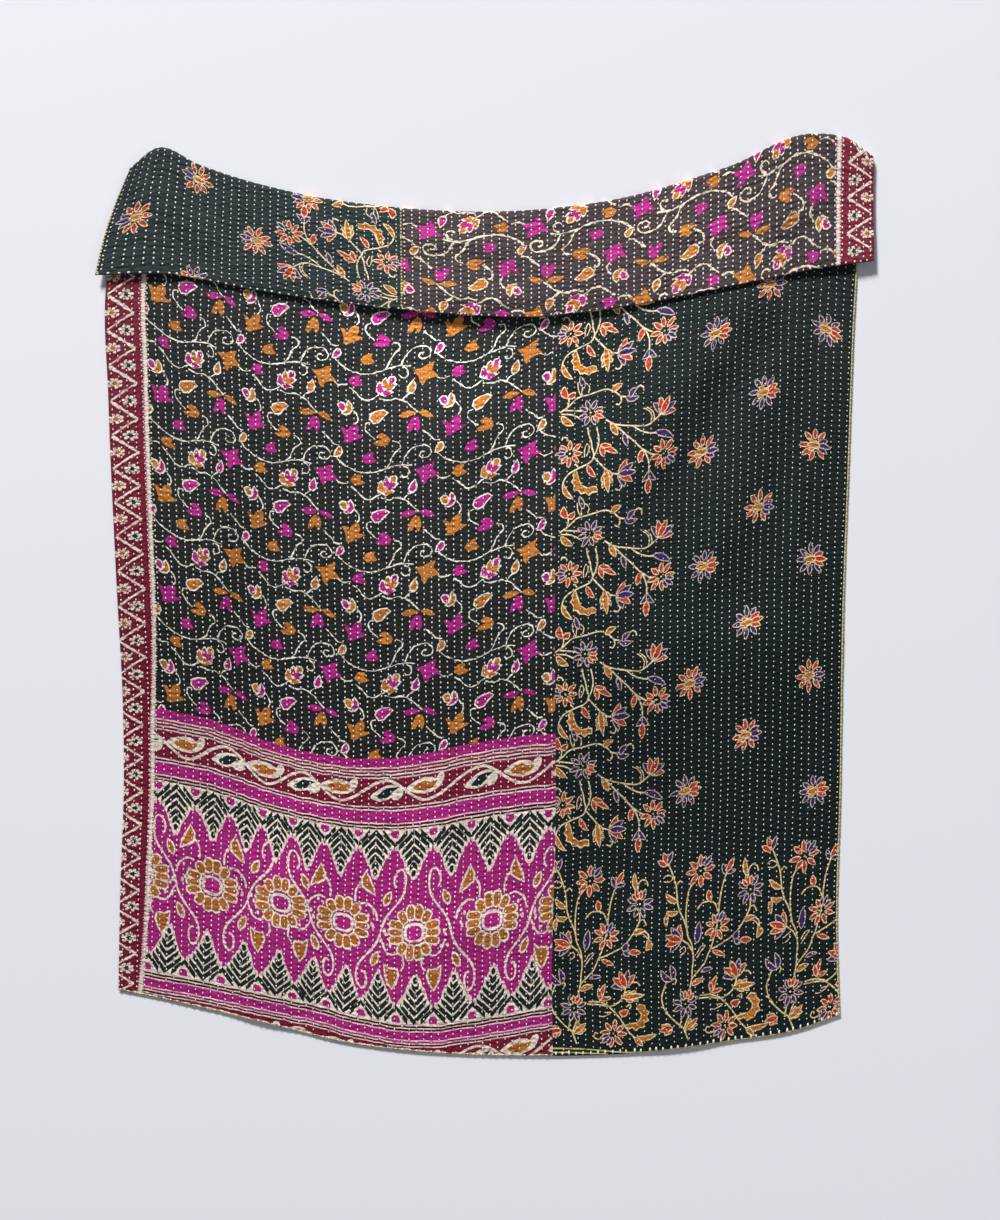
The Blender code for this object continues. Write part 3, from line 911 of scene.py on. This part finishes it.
spray = {
    "dye": "straw",
    "places": ((807, 20), (1003, 13), (1188, 5)),
    "stems": (
        ((0, 0), (-5, 13), (-9, 22), (-19, 30), (-29, 40), (-39, 52), (-44, 65), (-45, 78), (-41, 88),
         (-37, 98), (-31, 105), (-24, 106), (-19, 100), (-22, 94)),
        ((-7, 20), (-1, 35), (6, 48)), ((-15, 22), (-12, 35), (-9, 50)),
        ((4, 84), (8, 100), (9, 115), (11, 132), (8, 155), (1, 170), (-2, 185), (-7, 198), (-14, 212),
         (-18, 225), (-20, 240), (-22, 255), (-27, 270), (-33, 285), (-38, 294)),
        ((0, 175), (-2, 190), (-3, 210), (-1, 232), (2, 245), (8, 254), (16, 262)),
        ((-20, 257), (-15, 262), (-10, 258)), ((11, 140), (3, 155), (-5, 162), (-11, 167)),
        ((8, 100), (21, 112), (31, 122), (38, 137), (43, 147), (48, 162), (53, 182), (55, 197), (56, 212),
         (59, 232), (63, 247), (68, 260)),
        ((54, 200), (48, 215), (38, 220), (25, 219), (17, 211)),
        ((43, 142), (58, 147), (73, 153), (86, 160), (96, 172), (105, 185), (111, 198), (111, 212)),
        ((107, 243), (107, 258), (114, 266), (122, 262), (124, 254)), ((111, 198), (118, 200), (123, 190)),
        ((101, 180), (112, 183), (126, 176), (128, 164)),
        ((20, 66), (43, 64), (58, 60), (73, 65), (83, 75), (88, 90)), ((22, 70), (40, 69), (57, 62)),
        ((97, 98), (108, 97), (113, 91)),
        ((58, 60), (68, 50), (78, 38), (86, 25), (93, 15), (101, 7), (108, 0), (115, -7)),
        ((48, 8), (36, 7), (30, 12), (33, 18), (38, 16)), ((88, 58), (96, 62), (95, 54)),
    ),
    "thin": (
        ((-14, 148), (-5, 154), (-3, 146), (-12, 140)),
        ((17, 132), (24, 141), (32, 150), (24, 149), (17, 139)),
        ((-45, 270), (-38, 275), (-28, 269), (-34, 263), (-44, 265)),
        ((40, 46), (48, 44), (62, 50), (50, 51)), ((-47, 60), (-40, 56), (-35, 49)),
        ((104, 176), (118, 176), (127, 166)),
    ),
    "leaves": (
        ("orange", -27, 24, -50, 20, 15, 3), ("ochre", -5, 17, 17, 34, 14, 0),
        ("ochre", -19, 228, -40, 245, 10, 3), ("ochre", -17, 212, -38, 216, 9, 4),
        ("ochre", -36, 212, -37, 190, 8, -2), ("purple", 17, 156, 21, 190, 13, 0),
        ("purple", -27, 100, -46, 120, 11, 4), ("purple", -25, 101, -30, 127, 11, -3),
        ("orange", 39, 220, 36, 238, 11, 0), ("ochre", 105, 248, 100, 278, 9, 2),
        ("ochre", 100, 178, 122, 181, 9, 2), ("ochre", 127, 166, 124, 148, 12, 4),
        ("purple", 84, 150, 90, 164, 12, 0), ("purple", 84, 150, 94, 142, 9, 0),
        ("orange", 94, 148, 114, 146, 11, 0), ("orange", 45, 139, 67, 128, 8, 0),
        ("purple", 24, 108, 45, 110, 7, 2), ("ochre", 8, 89, 30, 96, 10, 2),
        ("orange", 43, 72, 52, 98, 9, 2), ("orange", 43, 72, 62, 75, 8, 0),
        ("orange", 43, 72, 40, 92, 8, 0), ("ochre", 79, 74, 120, 75, 15, 0),
        ("orange", 76, 49, 92, 52, 13, -3), ("ochre", 101, 5, 141, 9, 10, -3),
        ("ochre", 102, 6, 116, -8, 9, 0), ("purple", 66, 258, 60, 276, 9, 0),
        ("orange", 68, 260, 80, 283, 10, 0), ("purple", 68, 260, 84, 262, 8, 0),
        ("orange", -38, 292, -46, 312, 11, 0), ("purple", -38, 292, -30, 312, 9, 0),
        ("orange", -40, 290, -56, 300, 9, 0),
    ),
    "curl": (
        (84, 27), (92, 21), (98, 23), (104, 18), (111, 22), (118, 22), (120, 29), (127, 32), (124, 40),
        (128, 47), (122, 52), (120, 59), (112, 61), (106, 56), (110, 50), (115, 44), (113, 36), (106, 30),
        (96, 29),
    ),
    "daisies": (
        (-4, 60, 24, "purple", "orange", 68), (21, 272, 27, "orange", "purple", 48),
        (53, 177, 24, "orange", "purple", 65), (111, 226, 25, "purple", "orange", 108),
        (65, 15, 24, "orange", "purple", 215),
    ),
    "tulips": ((-11, 165, 160, 30, "orange", "purple"), (88, 90, 112, 30, "orange", "purple")),
}


def drawPlant(cloth, plant, x, y):
    for stem in plant["stems"]:
        cloth.line(plant["dye"], moved(stem, x, y), 2.4, ragged=0.12)
    for stem in plant["thin"]:
        cloth.line("peach", moved(stem, x, y), 1.7, ragged=0.1)
    for dye, x0, y0, x1, y1, width, bend in plant["leaves"]:
        ends = x + x0, y + y0, x + x1, y + y1
        if width >= lobed["from"]:
            drawLobed(cloth, dye, *ends, width)
        else:
            cloth.leaf(dye, *ends, width * 0.9, rims[dye], bend, petalMargin)
    cloth.edged(plant["dye"], "ochre", moved(plant["curl"], x, y), 1.6, 0.8)
    for px, py, *look in plant["daisies"]:
        drawDaisy(cloth, x + px, y + py, *look)
    for px, py, *look in plant["tulips"]:
        drawTulip(cloth, x + px, y + py, *look)


# Single buds: x, v and dye. The reverse's stand in four columns, whose first v and odd dye differ
faceBuds = (
    (1035, 1153, "purple"), (1225, 1128, "purple"), (1127, 1200, "orange"), (1120, 1030, "purple"),
    (1017, 968, "orange"), (1210, 938, "orange"), (1117, 848, "orange"), (1022, 780, "purple"),
    (1210, 755, "purple"), (1101, 668, "purple"), (1002, 595, "orange"), (1212, 568, "orange"),
    (1101, 488, "orange"), (995, 420, "purple"), (1222, 380, "purple"),
)
reverseBuds = [(x, v - 181 * k, "purple" if (k + odd) % 5 == 0 else "orange")
               for x, v, odd in ((1192, 1548, 3), (1101, 1647, 0), (1002, 1548, 2), (917, 1446, 1))
               for k in range(9)]
# Woven cord near the end of the green cloth, running out to its edge
hemCords = (
    ((764, 13), (800, 12), (840, 9), (880, 4), (910, 1.4), (1000, 1.2), (1140, 1.4), (1269, 1.2)),
    ((764, 6.5), (800, 5.5), (840, 3), (862, 1.2)),
    ((1268.4, 0), (1268.4, 480), (1268.4, 960), (1268.4, 1430)),
)


def drawGreenCloth(cloth, buds, rise):
    for cord in hemCords:
        cloth.line("cord", cord, 2.4, step=8, ragged=0.2)
    for x, y, dye in buds:
        odd = "orange" if dye == "purple" else "purple"
        drawBud(cloth, x, y, dye, odd, cloth.dice.uniform(*bud["tilt"]))
    for x, y in vine["places"]:
        drawPlant(cloth, vine, x, y + rise)
    for x, y in spray["places"]:
        drawPlant(cloth, spray, x, y)


# Columns and stations of a cloth's mesh, besides the corners of its print
lattice = {
    "margins": (0.0, 0.5, 1.4, 2.6), "clear": 3.0,       # beside each edge
    "parts": (0.0, 0.25, 0.5, 0.75),                     # of the pitch of the rows
    "step": 9.0, "hiddenStep": 20.0, "hiddenFrom": 1245, "from": 7.0, "until": 6,
    "rollSteps": 10, "rollClear": 4,
    "printedUntil": 1300,      # the face's print further on lies under the flap
}


def columnsOf(firstRow, lastRow):
    low, high = firstRow * quilt["pitch"], lastRow * quilt["pitch"]
    inner = [quilt["pitch"] * (row + part) for row in range(firstRow, lastRow) for part in lattice["parts"]]
    edges = [low + m for m in lattice["margins"]] + [high - m for m in lattice["margins"]]
    clear = lattice["clear"]
    return np.array(sorted(edges + [u for u in inner if low + clear < u < high - clear]))


def stationsOf(isFront):
    body, roll, length, clear = quilt["body"], quilt["roll"], quilt["length"], lattice["rollClear"]
    stations = [*lattice["margins"], *(length - m for m in lattice["margins"])]
    v = lattice["from"]
    while v < length - lattice["until"]:
        if v < body - clear or v > body + roll + clear:
            stations.append(v)
        isHidden = isFront and lattice["hiddenFrom"] < v < length - lattice["clear"]
        v += lattice["hiddenStep"] if isHidden else lattice["step"]
    steps = lattice["rollSteps"]
    return np.array(sorted(stations + [body + roll * k / steps for k in range(steps + 1)]))


def makePiece(name, places, tris):
    mesh = bpy.data.meshes.new(name)
    mesh.from_pydata(places * mm, [], tris)
    mesh.polygons.foreach_set("use_smooth", np.ones(len(mesh.polygons), bool))
    mesh.update()
    piece = bpy.data.objects.new(name, mesh)
    bpy.context.collection.objects.link(piece)
    return piece


def sheetMesh(name, panel):
    us, vs = columnsOf(*panel["rows"]), stationsOf(panel["front"])
    low, high, length = us[0], us[-1], quilt["length"]
    points = [(low, 0.0), (high, 0.0), (high, length), (low, length)] + [(u, v) for u in us for v in vs]
    faces, dyeOf = [[0, 1, 2, 3]], [(panel["ground"], 1.0)]
    for dye, shade, outline in panel["print"].shapes:
        reach = [u for u, v in outline]
        isCovered = panel["front"] and min(v for u, v in outline) > lattice["printedUntil"]
        if isCovered or max(reach) < low or min(reach) > high:
            continue
        faces.append(list(range(len(points), len(points) + len(outline))))
        points += outline
        dyeOf.append((dye, shade))
    verts, _, tris, _, _, origin = delaunay_2d_cdt(points, [], faces, 1, 1e-4, True)
    # a triangle takes the dye of the topmost shape over it
    keep = [i for i, over in enumerate(origin) if 0 in over]
    top = np.array([max(origin[i]) for i in keep])
    used, tris = np.unique(np.array([tris[i] for i in keep]), return_inverse=True)
    tris = tris.reshape(-1, 3)
    flat = np.array([tuple(p) for p in verts])[used]
    u, v = flat.T
    if not panel["front"]:
        tris = tris[:, ::-1]
    piece = makePiece(name, laid(u, v, faceDepth(u, v, panel["front"])), tris)
    colours = np.array([[*(c * shade for c in dyes[dye]), 1.0] for dye, shade in dyeOf])[top]
    layer = piece.data.color_attributes.new("dye", "FLOAT_COLOR", "CORNER")
    layer.data.foreach_set("color", np.repeat(colours, 3, axis=0).ravel())
    corners = flat[tris.ravel()]
    for layerName, places in (("cloth", corners * mm), ("OFBake", (corners - (low, 0)) / length)):
        piece.data.uv_layers.new(name=layerName).data.foreach_set("uv", places.ravel())
    print(name, len(tris), "triangles,", len(faces), "printed shapes")
    return piece


# Running stitches, with long and wide for each ground
stitch = {
    "charcoal": (4.7, 2.2), "umber": (5.1, 2.7), "green": (3.4, 1.8), "greenPale": (4.2, 2.3),
    "high": 1.15, "every": 8.7, "pace": (0.97, 1.03), "from": 8, "until": 12, "edge": 0.1,
    "golden": 0.618034, "lean": 0.35, "stray": 0.3, "longVaries": (0.8, 1.12), "wideVaries": (0.85, 1.15),
}
# Stitches over the two ends of the cloth
whip = {
    "every": 12.7, "stray": 0.9, "long": 8.5, "longVaries": (0.75, 1.15), "wide": 3.0,
    "wideVaries": (0.8, 1.2), "inset": 0.6, "lean": 0.6, "clear": 4,
}
# Overcasting down a side, and down the seam of the reverse
overcast = {
    "every": 6.4, "stray": (0.25, 0.4), "long": 5.6, "longVaries": (0.85, 1.1), "wide": 2.6,
    "wideVaries": (0.85, 1.15), "inset": 1.1, "seamInset": 1.4, "lean": 0.3,
}
# share along, share across, height, of a stitch's eight corners
grain = ((0.00, 0.0, -0.25), (0.28, -1.0, 0.0), (0.28, 0.0, 1.0), (0.28, 1.0, 0.0),
         (0.72, -1.0, 0.0), (0.72, 0.0, 1.0), (0.72, 1.0, 0.0), (1.00, 0.0, -0.25))
grainFaces = ((0, 2, 1), (0, 3, 2), (1, 2, 5), (1, 5, 4), (2, 3, 6), (2, 6, 5), (4, 5, 7), (5, 6, 7))


# One mesh of stitches, each from (u, v) by its step (du, dv)
def stitchMesh(name, front, u, v, du, dv, wide, rowOf=None):
    count, corners = len(u), len(grain)
    long = np.hypot(du, dv)
    nu, nv = -dv / long * wide / 2, du / long * wide / 2
    along, across, height = np.array(grain).T
    allU = (u[:, None] + du[:, None] * along + nu[:, None] * across).ravel()
    allV = (v[:, None] + dv[:, None] * along + nv[:, None] * across).ravel()
    allU = np.clip(allU, stitch["edge"], quilt["width"] - stitch["edge"])
    allV = np.clip(allV, stitch["edge"], quilt["length"] - stitch["edge"])
    lift = np.tile(height * stitch["high"], count)
    base = allU if rowOf is None else np.repeat((rowOf + 0.5) * quilt["pitch"], corners)
    depth = faceDepth(base, allV, front) + (lift if front else -lift)
    faces = np.array(grainFaces)[:, ::-1] if front else np.array(grainFaces)
    tris = (np.arange(count)[:, None, None] * corners + faces[None]).reshape(-1, 3)
    piece = makePiece(name, laid(allU, allV, depth), tris)
    print(name, count, "stitches")
    return piece


def runningStitches(name, panel, seed):
    dice = np.random.default_rng(seed)
    long, wide = stitch[panel["ground"]]
    starts, rows = [], []
    for row in range(*panel["rows"]):
        shift = (row * stitch["golden"] + (0.0 if panel["front"] else 0.5)) % 1.0
        v = stitch["from"] + shift * stitch["every"]
        while v < quilt["length"] - stitch["until"]:
            starts.append(v)
            rows.append(row)
            v += stitch["every"] * dice.uniform(*stitch["pace"])
    rows, count = np.array(rows), len(rows)
    lean = dice.normal(0, stitch["lean"], count)
    u = (rows + 0.5) * quilt["pitch"] + dice.normal(0, stitch["stray"], count) - lean / 2
    v = np.array(starts) + dice.normal(0, stitch["lean"], count)
    return stitchMesh(name, panel["front"], u, v, lean, long * dice.uniform(*stitch["longVaries"], count),
                      wide * dice.uniform(*stitch["wideVaries"], count), rows)


def whipStitches(name, panel, seed):
    dice = np.random.default_rng(seed)
    first, last = (row * quilt["pitch"] for row in panel["rows"])
    u = np.arange(first + whip["clear"], last - whip["clear"], whip["every"])
    count = len(u)
    u = u + dice.normal(0, whip["stray"], count)
    dv = whip["long"] * panel["whip"] * dice.uniform(*whip["longVaries"], count)
    v = whip["inset"]
    if not panel["front"]:
        v, dv = quilt["length"] - whip["inset"], -dv
    return stitchMesh(name, panel["front"], u, np.full(count, v), dice.normal(0, whip["lean"], count), dv,
                      whip["wide"] * dice.uniform(*whip["wideVaries"], count))


def edgeStitches(name, front, u, low, high, seed):
    dice = np.random.default_rng(seed)
    v = np.arange(low, high, overcast["every"])
    count, lean, (strayU, strayV) = len(v), overcast["lean"], overcast["stray"]
    v = v + dice.normal(0, strayV, count)
    return stitchMesh(name, front, u + dice.normal(0, strayU, count), v, dice.normal(lean, lean, count),
                      overcast["long"] * dice.uniform(*overcast["longVaries"], count),
                      overcast["wide"] * dice.uniform(*overcast["wideVaries"], count))


# A material and the nodes added to it
class Finish:
    def __init__(self, name):
        self.material = bpy.data.materials.new(name)
        self.material.use_nodes = True
        self.tree = self.material.node_tree
        self.shader = self.tree.nodes["Principled BSDF"]

    def put(self, node, inputs):
        for key, value in inputs.items():
            if isinstance(value, bpy.types.NodeSocket):
                self.tree.links.new(value, node.inputs[key])
            else:
                node.inputs[key].default_value = value

    def add(self, kind, inputs=None, out=0, **settings):
        node = self.tree.nodes.new("ShaderNode" + kind)
        for key, value in settings.items():
            setattr(node, key, value)
        self.put(node, inputs or {})
        return node.outputs[out]

    def maths(self, operation, a, b=0.0, c=0.0):
        return self.add("Math", {0: a, 1: b, 2: c}, operation=operation)

    def times(self, a, b):
        return self.maths("MULTIPLY", a, b)

    def scaled(self, a, factor, offset):
        return self.maths("MULTIPLY_ADD", a, factor, offset)

    def plus(self, a, b):
        return self.maths("ADD", a, b)

    def noise(self, where, scale, detail, roughness=0.5):
        if isinstance(scale, tuple):
            where, scale = self.add("Mapping", {"Vector": where, "Scale": scale}), 1.0
        inputs = {"Vector": where, "Scale": scale, "Detail": detail, "Roughness": roughness}
        return self.add("TexNoise", inputs, "Fac")

    def ranged(self, value, before, after, shape="LINEAR"):
        ends = dict(zip(("From Min", "From Max", "To Min", "To Max"), (*before, *after)))
        return self.add("MapRange", {"Value": value, **ends}, interpolation_type=shape)

    def blend(self, share, a, b):
        return self.add("Mix", {"Factor": share, 6: a, 7: b}, 2, data_type="RGBA")


# Noise: scale to a metre, detail and, where it isn't plain, roughness. Thread, weave and pucker are in mm
clothFinish = {
    "roughness": 0.88, "wornRough": 0.12, "sheen": 0.05, "sheenRough": 0.6, "specular": 0.12,
    "thread": 0.9, "weave": 0.10, "pucker": 1.8, "nearRow": 0.42, "pinchHigh": -0.34,
    "warp": ((900, 45, 1), 2.0), "weft": ((45, 900, 1), 2.0), "worn": (7.0, 6.0, 0.6),
    "creases": ((42, 150, 1), 3.0, 0.55), "creaseHigh": 2.3,       # short, across from stitch to stitch
    "ridges": ((13, 118, 1), 1.5), "ridgeHigh": (0.5, 2.2), "ridgesOver": (1.15, 1.48),
    "crumple": (60.0, 3.0), "crumpleHigh": 0.7,
    # The row tone and the crease tone are painted shade: darker in the stitched grooves and where the pucker
    # noise is low, lighter on the ribs and crests
    "slubTone": (0.34, 0.66), "paintedRowShade": (-0.26, 1.1), "paintedCreaseShade": (0.5, 0.75),
    # Painted light and shade: the cloth darker towards the hem and lighter on the flap
    "light": (0.84, 1.08), "paintedLightOver": (0.3, 1.45),       # tone near the hem and on the flap
    # painted light and shade: centre of each paler or darker spot, its reach and its tone
    "paintedLightSpots": (
        ((0.62, 1.24, 0.0), 0.58, 1.62), ((0.9, 0.49, 0.0), 0.2, 0.66), ((0.08, 0.62, 0.0), 0.35, 0.86),
        ((0.95, 1.5, 0.0), 0.2, 1.28), ((0.0, 1.55, 0.0), 0.16, 0.84), ((0.42, 0.22, 0.0), 0.45, 1.2),
        ((0.5, 1.26, 0.0), 0.24, 1.3),
    ),
    # Painted sheen: a pale haze mixed over the dye, rising along the cloth towards the fold, broken into
    # patches by the worn noise
    "paintedSheen": (0.19, 0.20, 0.20, 1), "paintedSheenHigh": (0.0, 0.09), "paintedSheenOver": (0.6, 1.3),
    "paintedSheenFrom": (0.3, 0.7), "paintedSheenTo": (0.5, 1.3),
}


def clothMaterial(name):
    look, f = clothFinish, Finish(name)
    uv = f.add("UVMap", out="UV", uv_map="cloth")
    u, v = (f.add("SeparateXYZ", {0: uv}, axis) for axis in "XY")
    slubs = f.plus(f.noise(uv, *look["warp"]), f.noise(uv, *look["weft"]))
    worn = f.noise(uv, *look["worn"])
    row = f.maths("DIVIDE", u, quilt["pitch"] * mm)
    across = f.maths("ABSOLUTE", f.maths("SUBTRACT", f.maths("FRACT", row), 0.5))
    near = f.ranged(across, (0.0, look["nearRow"]), (1.0, 0.0), "SMOOTHSTEP")
    phase = f.times(f.maths("FLOOR", row), stitch["golden"])
    along = f.plus(f.maths("DIVIDE", v, stitch["every"] * mm), phase)
    pinch = f.times(f.maths("COSINE", f.times(along, math.tau)), near)
    creases, ridges, crumple = (f.noise(uv, *look[key]) for key in ("creases", "ridges", "crumple"))
    drawn = f.ranged(v, look["ridgesOver"], look["ridgeHigh"])
    pucker = f.plus(f.times(pinch, look["pinchHigh"]), f.times(creases, look["creaseHigh"]))
    pucker = f.plus(pucker, f.times(crumple, look["crumpleHigh"]))
    pucker = f.plus(pucker, f.times(ridges, drawn))
    turns = math.tau / (look["thread"] * mm)
    weave = f.times(*(f.maths("SINE", f.times(way, turns)) for way in (u, v)))
    # colour: the print, with painted shade in the stitched lines and in the pucker troughs and a painted
    # lift on the ribs, threads a little uneven
    tone = f.scaled(slubs, *look["slubTone"])
    tone = f.times(tone, f.scaled(near, *look["paintedRowShade"]))
    tone = f.times(tone, f.scaled(creases, *look["paintedCreaseShade"]))
    # painted light and shade: darker towards the hem, lighter on the flap
    tone = f.times(tone, f.ranged(v, look["paintedLightOver"], look["light"]))
    # painted light and shade: paler and darker spots
    for centre, reach, middle in look["paintedLightSpots"]:
        away = f.add("VectorMath", {0: uv, 1: centre}, "Value", operation="DISTANCE")
        tone = f.times(tone, f.ranged(away, (0.0, reach), (middle, 1.0), "SMOOTHSTEP"))
    dye = f.add("VertexColor", out="Color", layer_name="dye")
    toned = f.add("VectorMath", {0: dye, "Scale": tone}, operation="SCALE")
    # painted sheen: a pale haze that rises towards the fold, in patches from the worn noise
    paintedSheenPatches = f.ranged(worn, look["paintedSheenFrom"], look["paintedSheenTo"])
    paintedSheen = f.times(paintedSheenPatches, f.ranged(v, look["paintedSheenOver"], look["paintedSheenHigh"]))
    folds = f.add("Bump", {"Height": pucker, "Strength": 1.0, "Distance": look["pucker"] * mm})
    f.put(f.shader, {
        "Base Color": f.blend(paintedSheen, toned, look["paintedSheen"]),
        "Roughness": f.scaled(worn, look["wornRough"], look["roughness"] - look["wornRough"] / 2),
        "Sheen Weight": look["sheen"], "Sheen Roughness": look["sheenRough"],
        "Specular IOR Level": look["specular"],
        "Normal": f.add("Bump", {"Height": weave, "Strength": 1.0, "Normal": folds,
                                 "Distance": look["weave"] * mm}),
    })
    return f.material


threadFinish = {
    "roughness": 0.7, "sheen": 0.2, "dirt": (35.0, 4.0), "dirtTone": 0.92,
    "ply": (1500.0, 2.0), "plyHigh": 0.15, "plyStrength": 0.6,
}


def threadMaterial(name, colour):
    look, f = threadFinish, Finish(name)
    where = f.add("TexCoord", out="Object")
    dark = tuple(c * look["dirtTone"] for c in colour)
    dirt, ply = (f.noise(where, *look[key]) for key in ("dirt", "ply"))
    f.put(f.shader, {
        "Base Color": f.blend(dirt, (*colour, 1), (*dark, 1)),
        "Roughness": look["roughness"], "Sheen Weight": look["sheen"],
        "Normal": f.add("Bump", {"Height": ply, "Strength": look["plyStrength"],
                                 "Distance": look["plyHigh"] * mm}),
    })
    return f.material


underneath = quilt["body"] - 50      # the reverse's print below this v doesn't show


def asDrawn(x, y):
    return x, y


def charcoalPrint(seed, turned):
    side, coarse = ("reverse", underneath) if turned else ("face", 0.0)

    def through(place):
        def read(x, y):
            u, v = place(x, y)
            return (quilt["width"] - u if turned else u), v

        return read

    field = Cloth(through(lambda x, y: sprigPlace(side, x, y)), seed, coarse)
    drawSprigs(field, side)
    border = Cloth(through(borderPlace), seed + 1, coarse)
    drawEndBorder(border)
    strip = Cloth(through(asDrawn), seed + 2, coarse)
    drawSelvedge(strip)
    strip.line("stem", hemThread, 3.0, step=6, ragged=0.98)
    field.shapes = [s for s in field.shapes if max(v for u, v in s[2]) > sprig["stopsAt"]]
    field.shapes += border.shapes + strip.shapes
    return field


def greenPrint(seed, turned):
    if turned:
        cloth = Cloth(lambda x, y: (backSeam + frontSeam - x, y), seed, underneath)
        drawGreenCloth(cloth, reverseBuds, vine["reverseRise"])
    else:
        cloth = Cloth(asDrawn, seed)
        drawGreenCloth(cloth, faceBuds, 0)
    return cloth


# whip: how much of the hem's stitches shows. edging: u of an overcast line, and from v to v
panels = {
    "front_left": {
        "rows": (0, quilt["frontSeamRow"]), "front": True, "ground": "charcoal",
        "slot": "face_charcoal_print", "print": charcoalPrint(11, False), "whip": 0.42, "edging": None,
    },
    "front_right": {
        "rows": (quilt["frontSeamRow"], quilt["rows"]), "front": True, "ground": "green",
        "slot": "face_green_print", "print": greenPrint(21, False), "whip": 1.0,
        "edging": (quilt["width"] - overcast["inset"], 2, 1260),
    },
    "back_left": {
        "rows": (0, quilt["backSeamRow"]), "front": False, "ground": "greenPale",
        "slot": "reverse_green_print", "print": greenPrint(31, True), "whip": 0.5,
        "edging": (overcast["inset"], quilt["body"] + 6, quilt["length"] - 6),
    },
    "back_right": {
        "rows": (quilt["backSeamRow"], quilt["rows"]), "front": False, "ground": "umber",
        "slot": "reverse_charcoal_print", "print": charcoalPrint(41, True), "whip": 0.5,
        "edging": (backSeam + overcast["seamInset"], quilt["body"] + 4, quilt["length"] - 6),
    },
}
print("prints drawn")
cotton = clothMaterial("printed cotton")
thread = threadMaterial("cream quilting thread", linear(255, 253, 247))
yellowThread = threadMaterial("yellow edging thread", linear(214, 206, 140))
for name, panel in panels.items():
    seed = 5 + len(name)
    sheet = sheetMesh(name + "_cloth", panel)
    sheet.data.materials.append(cotton)
    stitches = [runningStitches(name + "_stitches", panel, seed),
                whipStitches(name + "_hem_stitches", panel, seed + 1)]
    for made in stitches:
        made.data.materials.append(thread)
    if panel["edging"]:
        made = edgeStitches(name + "_edge_stitches", panel["front"], *panel["edging"], seed + 2)
        made.data.materials.append(yellowThread)
        stitches.append(made)
    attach(sheet, "root")
    for made in stitches:
        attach(made, "root")
    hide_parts(name + "_panel")
    panel["sheet"], panel["with"] = sheet, stitches
print("cloths laid")

studio = {
    "pixel": 1.7,          # mm of the quilt to a pixel of the frame
    "frame": (1000, 1220), "centre": (484.5, 594.5), "lens": 60.0, "filmHeight": 36.0,
    "floorSize": 14, "floorZ": -0.0004, "floorColour": (247, 248, 255), "floorRough": 0.9,
    "world": (0.93, 0.94, 1.0, 1), "worldStrength": 0.14,
    # place, target, size, power and colour
    "lights": {
        "key": ((-5.5, 16.0, 8.4), (0, 0, 0), 3.4, 5150, (1.0, 0.988, 0.98)),
        "fill": ((2.4, -3.2, 3.6), (0.2, -0.7, 0), 2.6, 26, (0.97, 0.97, 1.0)),
    },
}


def makeFloor():
    bpy.ops.mesh.primitive_plane_add(size=studio["floorSize"], location=(0, 0, studio["floorZ"]))
    floor = bpy.context.object
    floor.name = "floor"
    finish = Finish("floor")
    finish.put(finish.shader, {"Base Color": (*linear(*studio["floorColour"]), 1),
                               "Roughness": studio["floorRough"]})
    floor.data.materials.append(finish.material)


def addLight(name, place, target, size, power, colour):
    data = bpy.data.lights.new(name, "AREA")
    data.shape, data.size, data.energy, data.color = "DISK", size, power, colour
    light = bpy.data.objects.new(name, data)
    light.location = place
    light.rotation_euler = (Vector(target) - Vector(place)).to_track_quat("-Z", "Y").to_euler()
    bpy.context.collection.objects.link(light)


def addCamera():
    pixel, (wide, tall), (x, y) = studio["pixel"] * mm, studio["frame"], studio["centre"]
    camera = bpy.data.cameras.new("camera")
    camera.lens, camera.sensor_fit, camera.sensor_height = studio["lens"], "VERTICAL", studio["filmHeight"]
    holder = bpy.data.objects.new("camera", camera)
    away = tall * pixel * studio["lens"] / studio["filmHeight"]
    holder.location = ((wide / 2 - x) * pixel, (y - tall / 2) * pixel, away)
    bpy.context.collection.objects.link(holder)
    bpy.context.scene.camera = holder


makeFloor()
for name, light in studio["lights"].items():
    addLight(name, *light)
world = bpy.data.worlds.new("studio")
bpy.context.scene.world = world
world.use_nodes = True
world.node_tree.nodes["Background"].inputs[0].default_value = studio["world"]
world.node_tree.nodes["Background"].inputs[1].default_value = studio["worldStrength"]
bpy.context.scene.view_settings.view_transform = "Standard"
addCamera()
print("studio set")
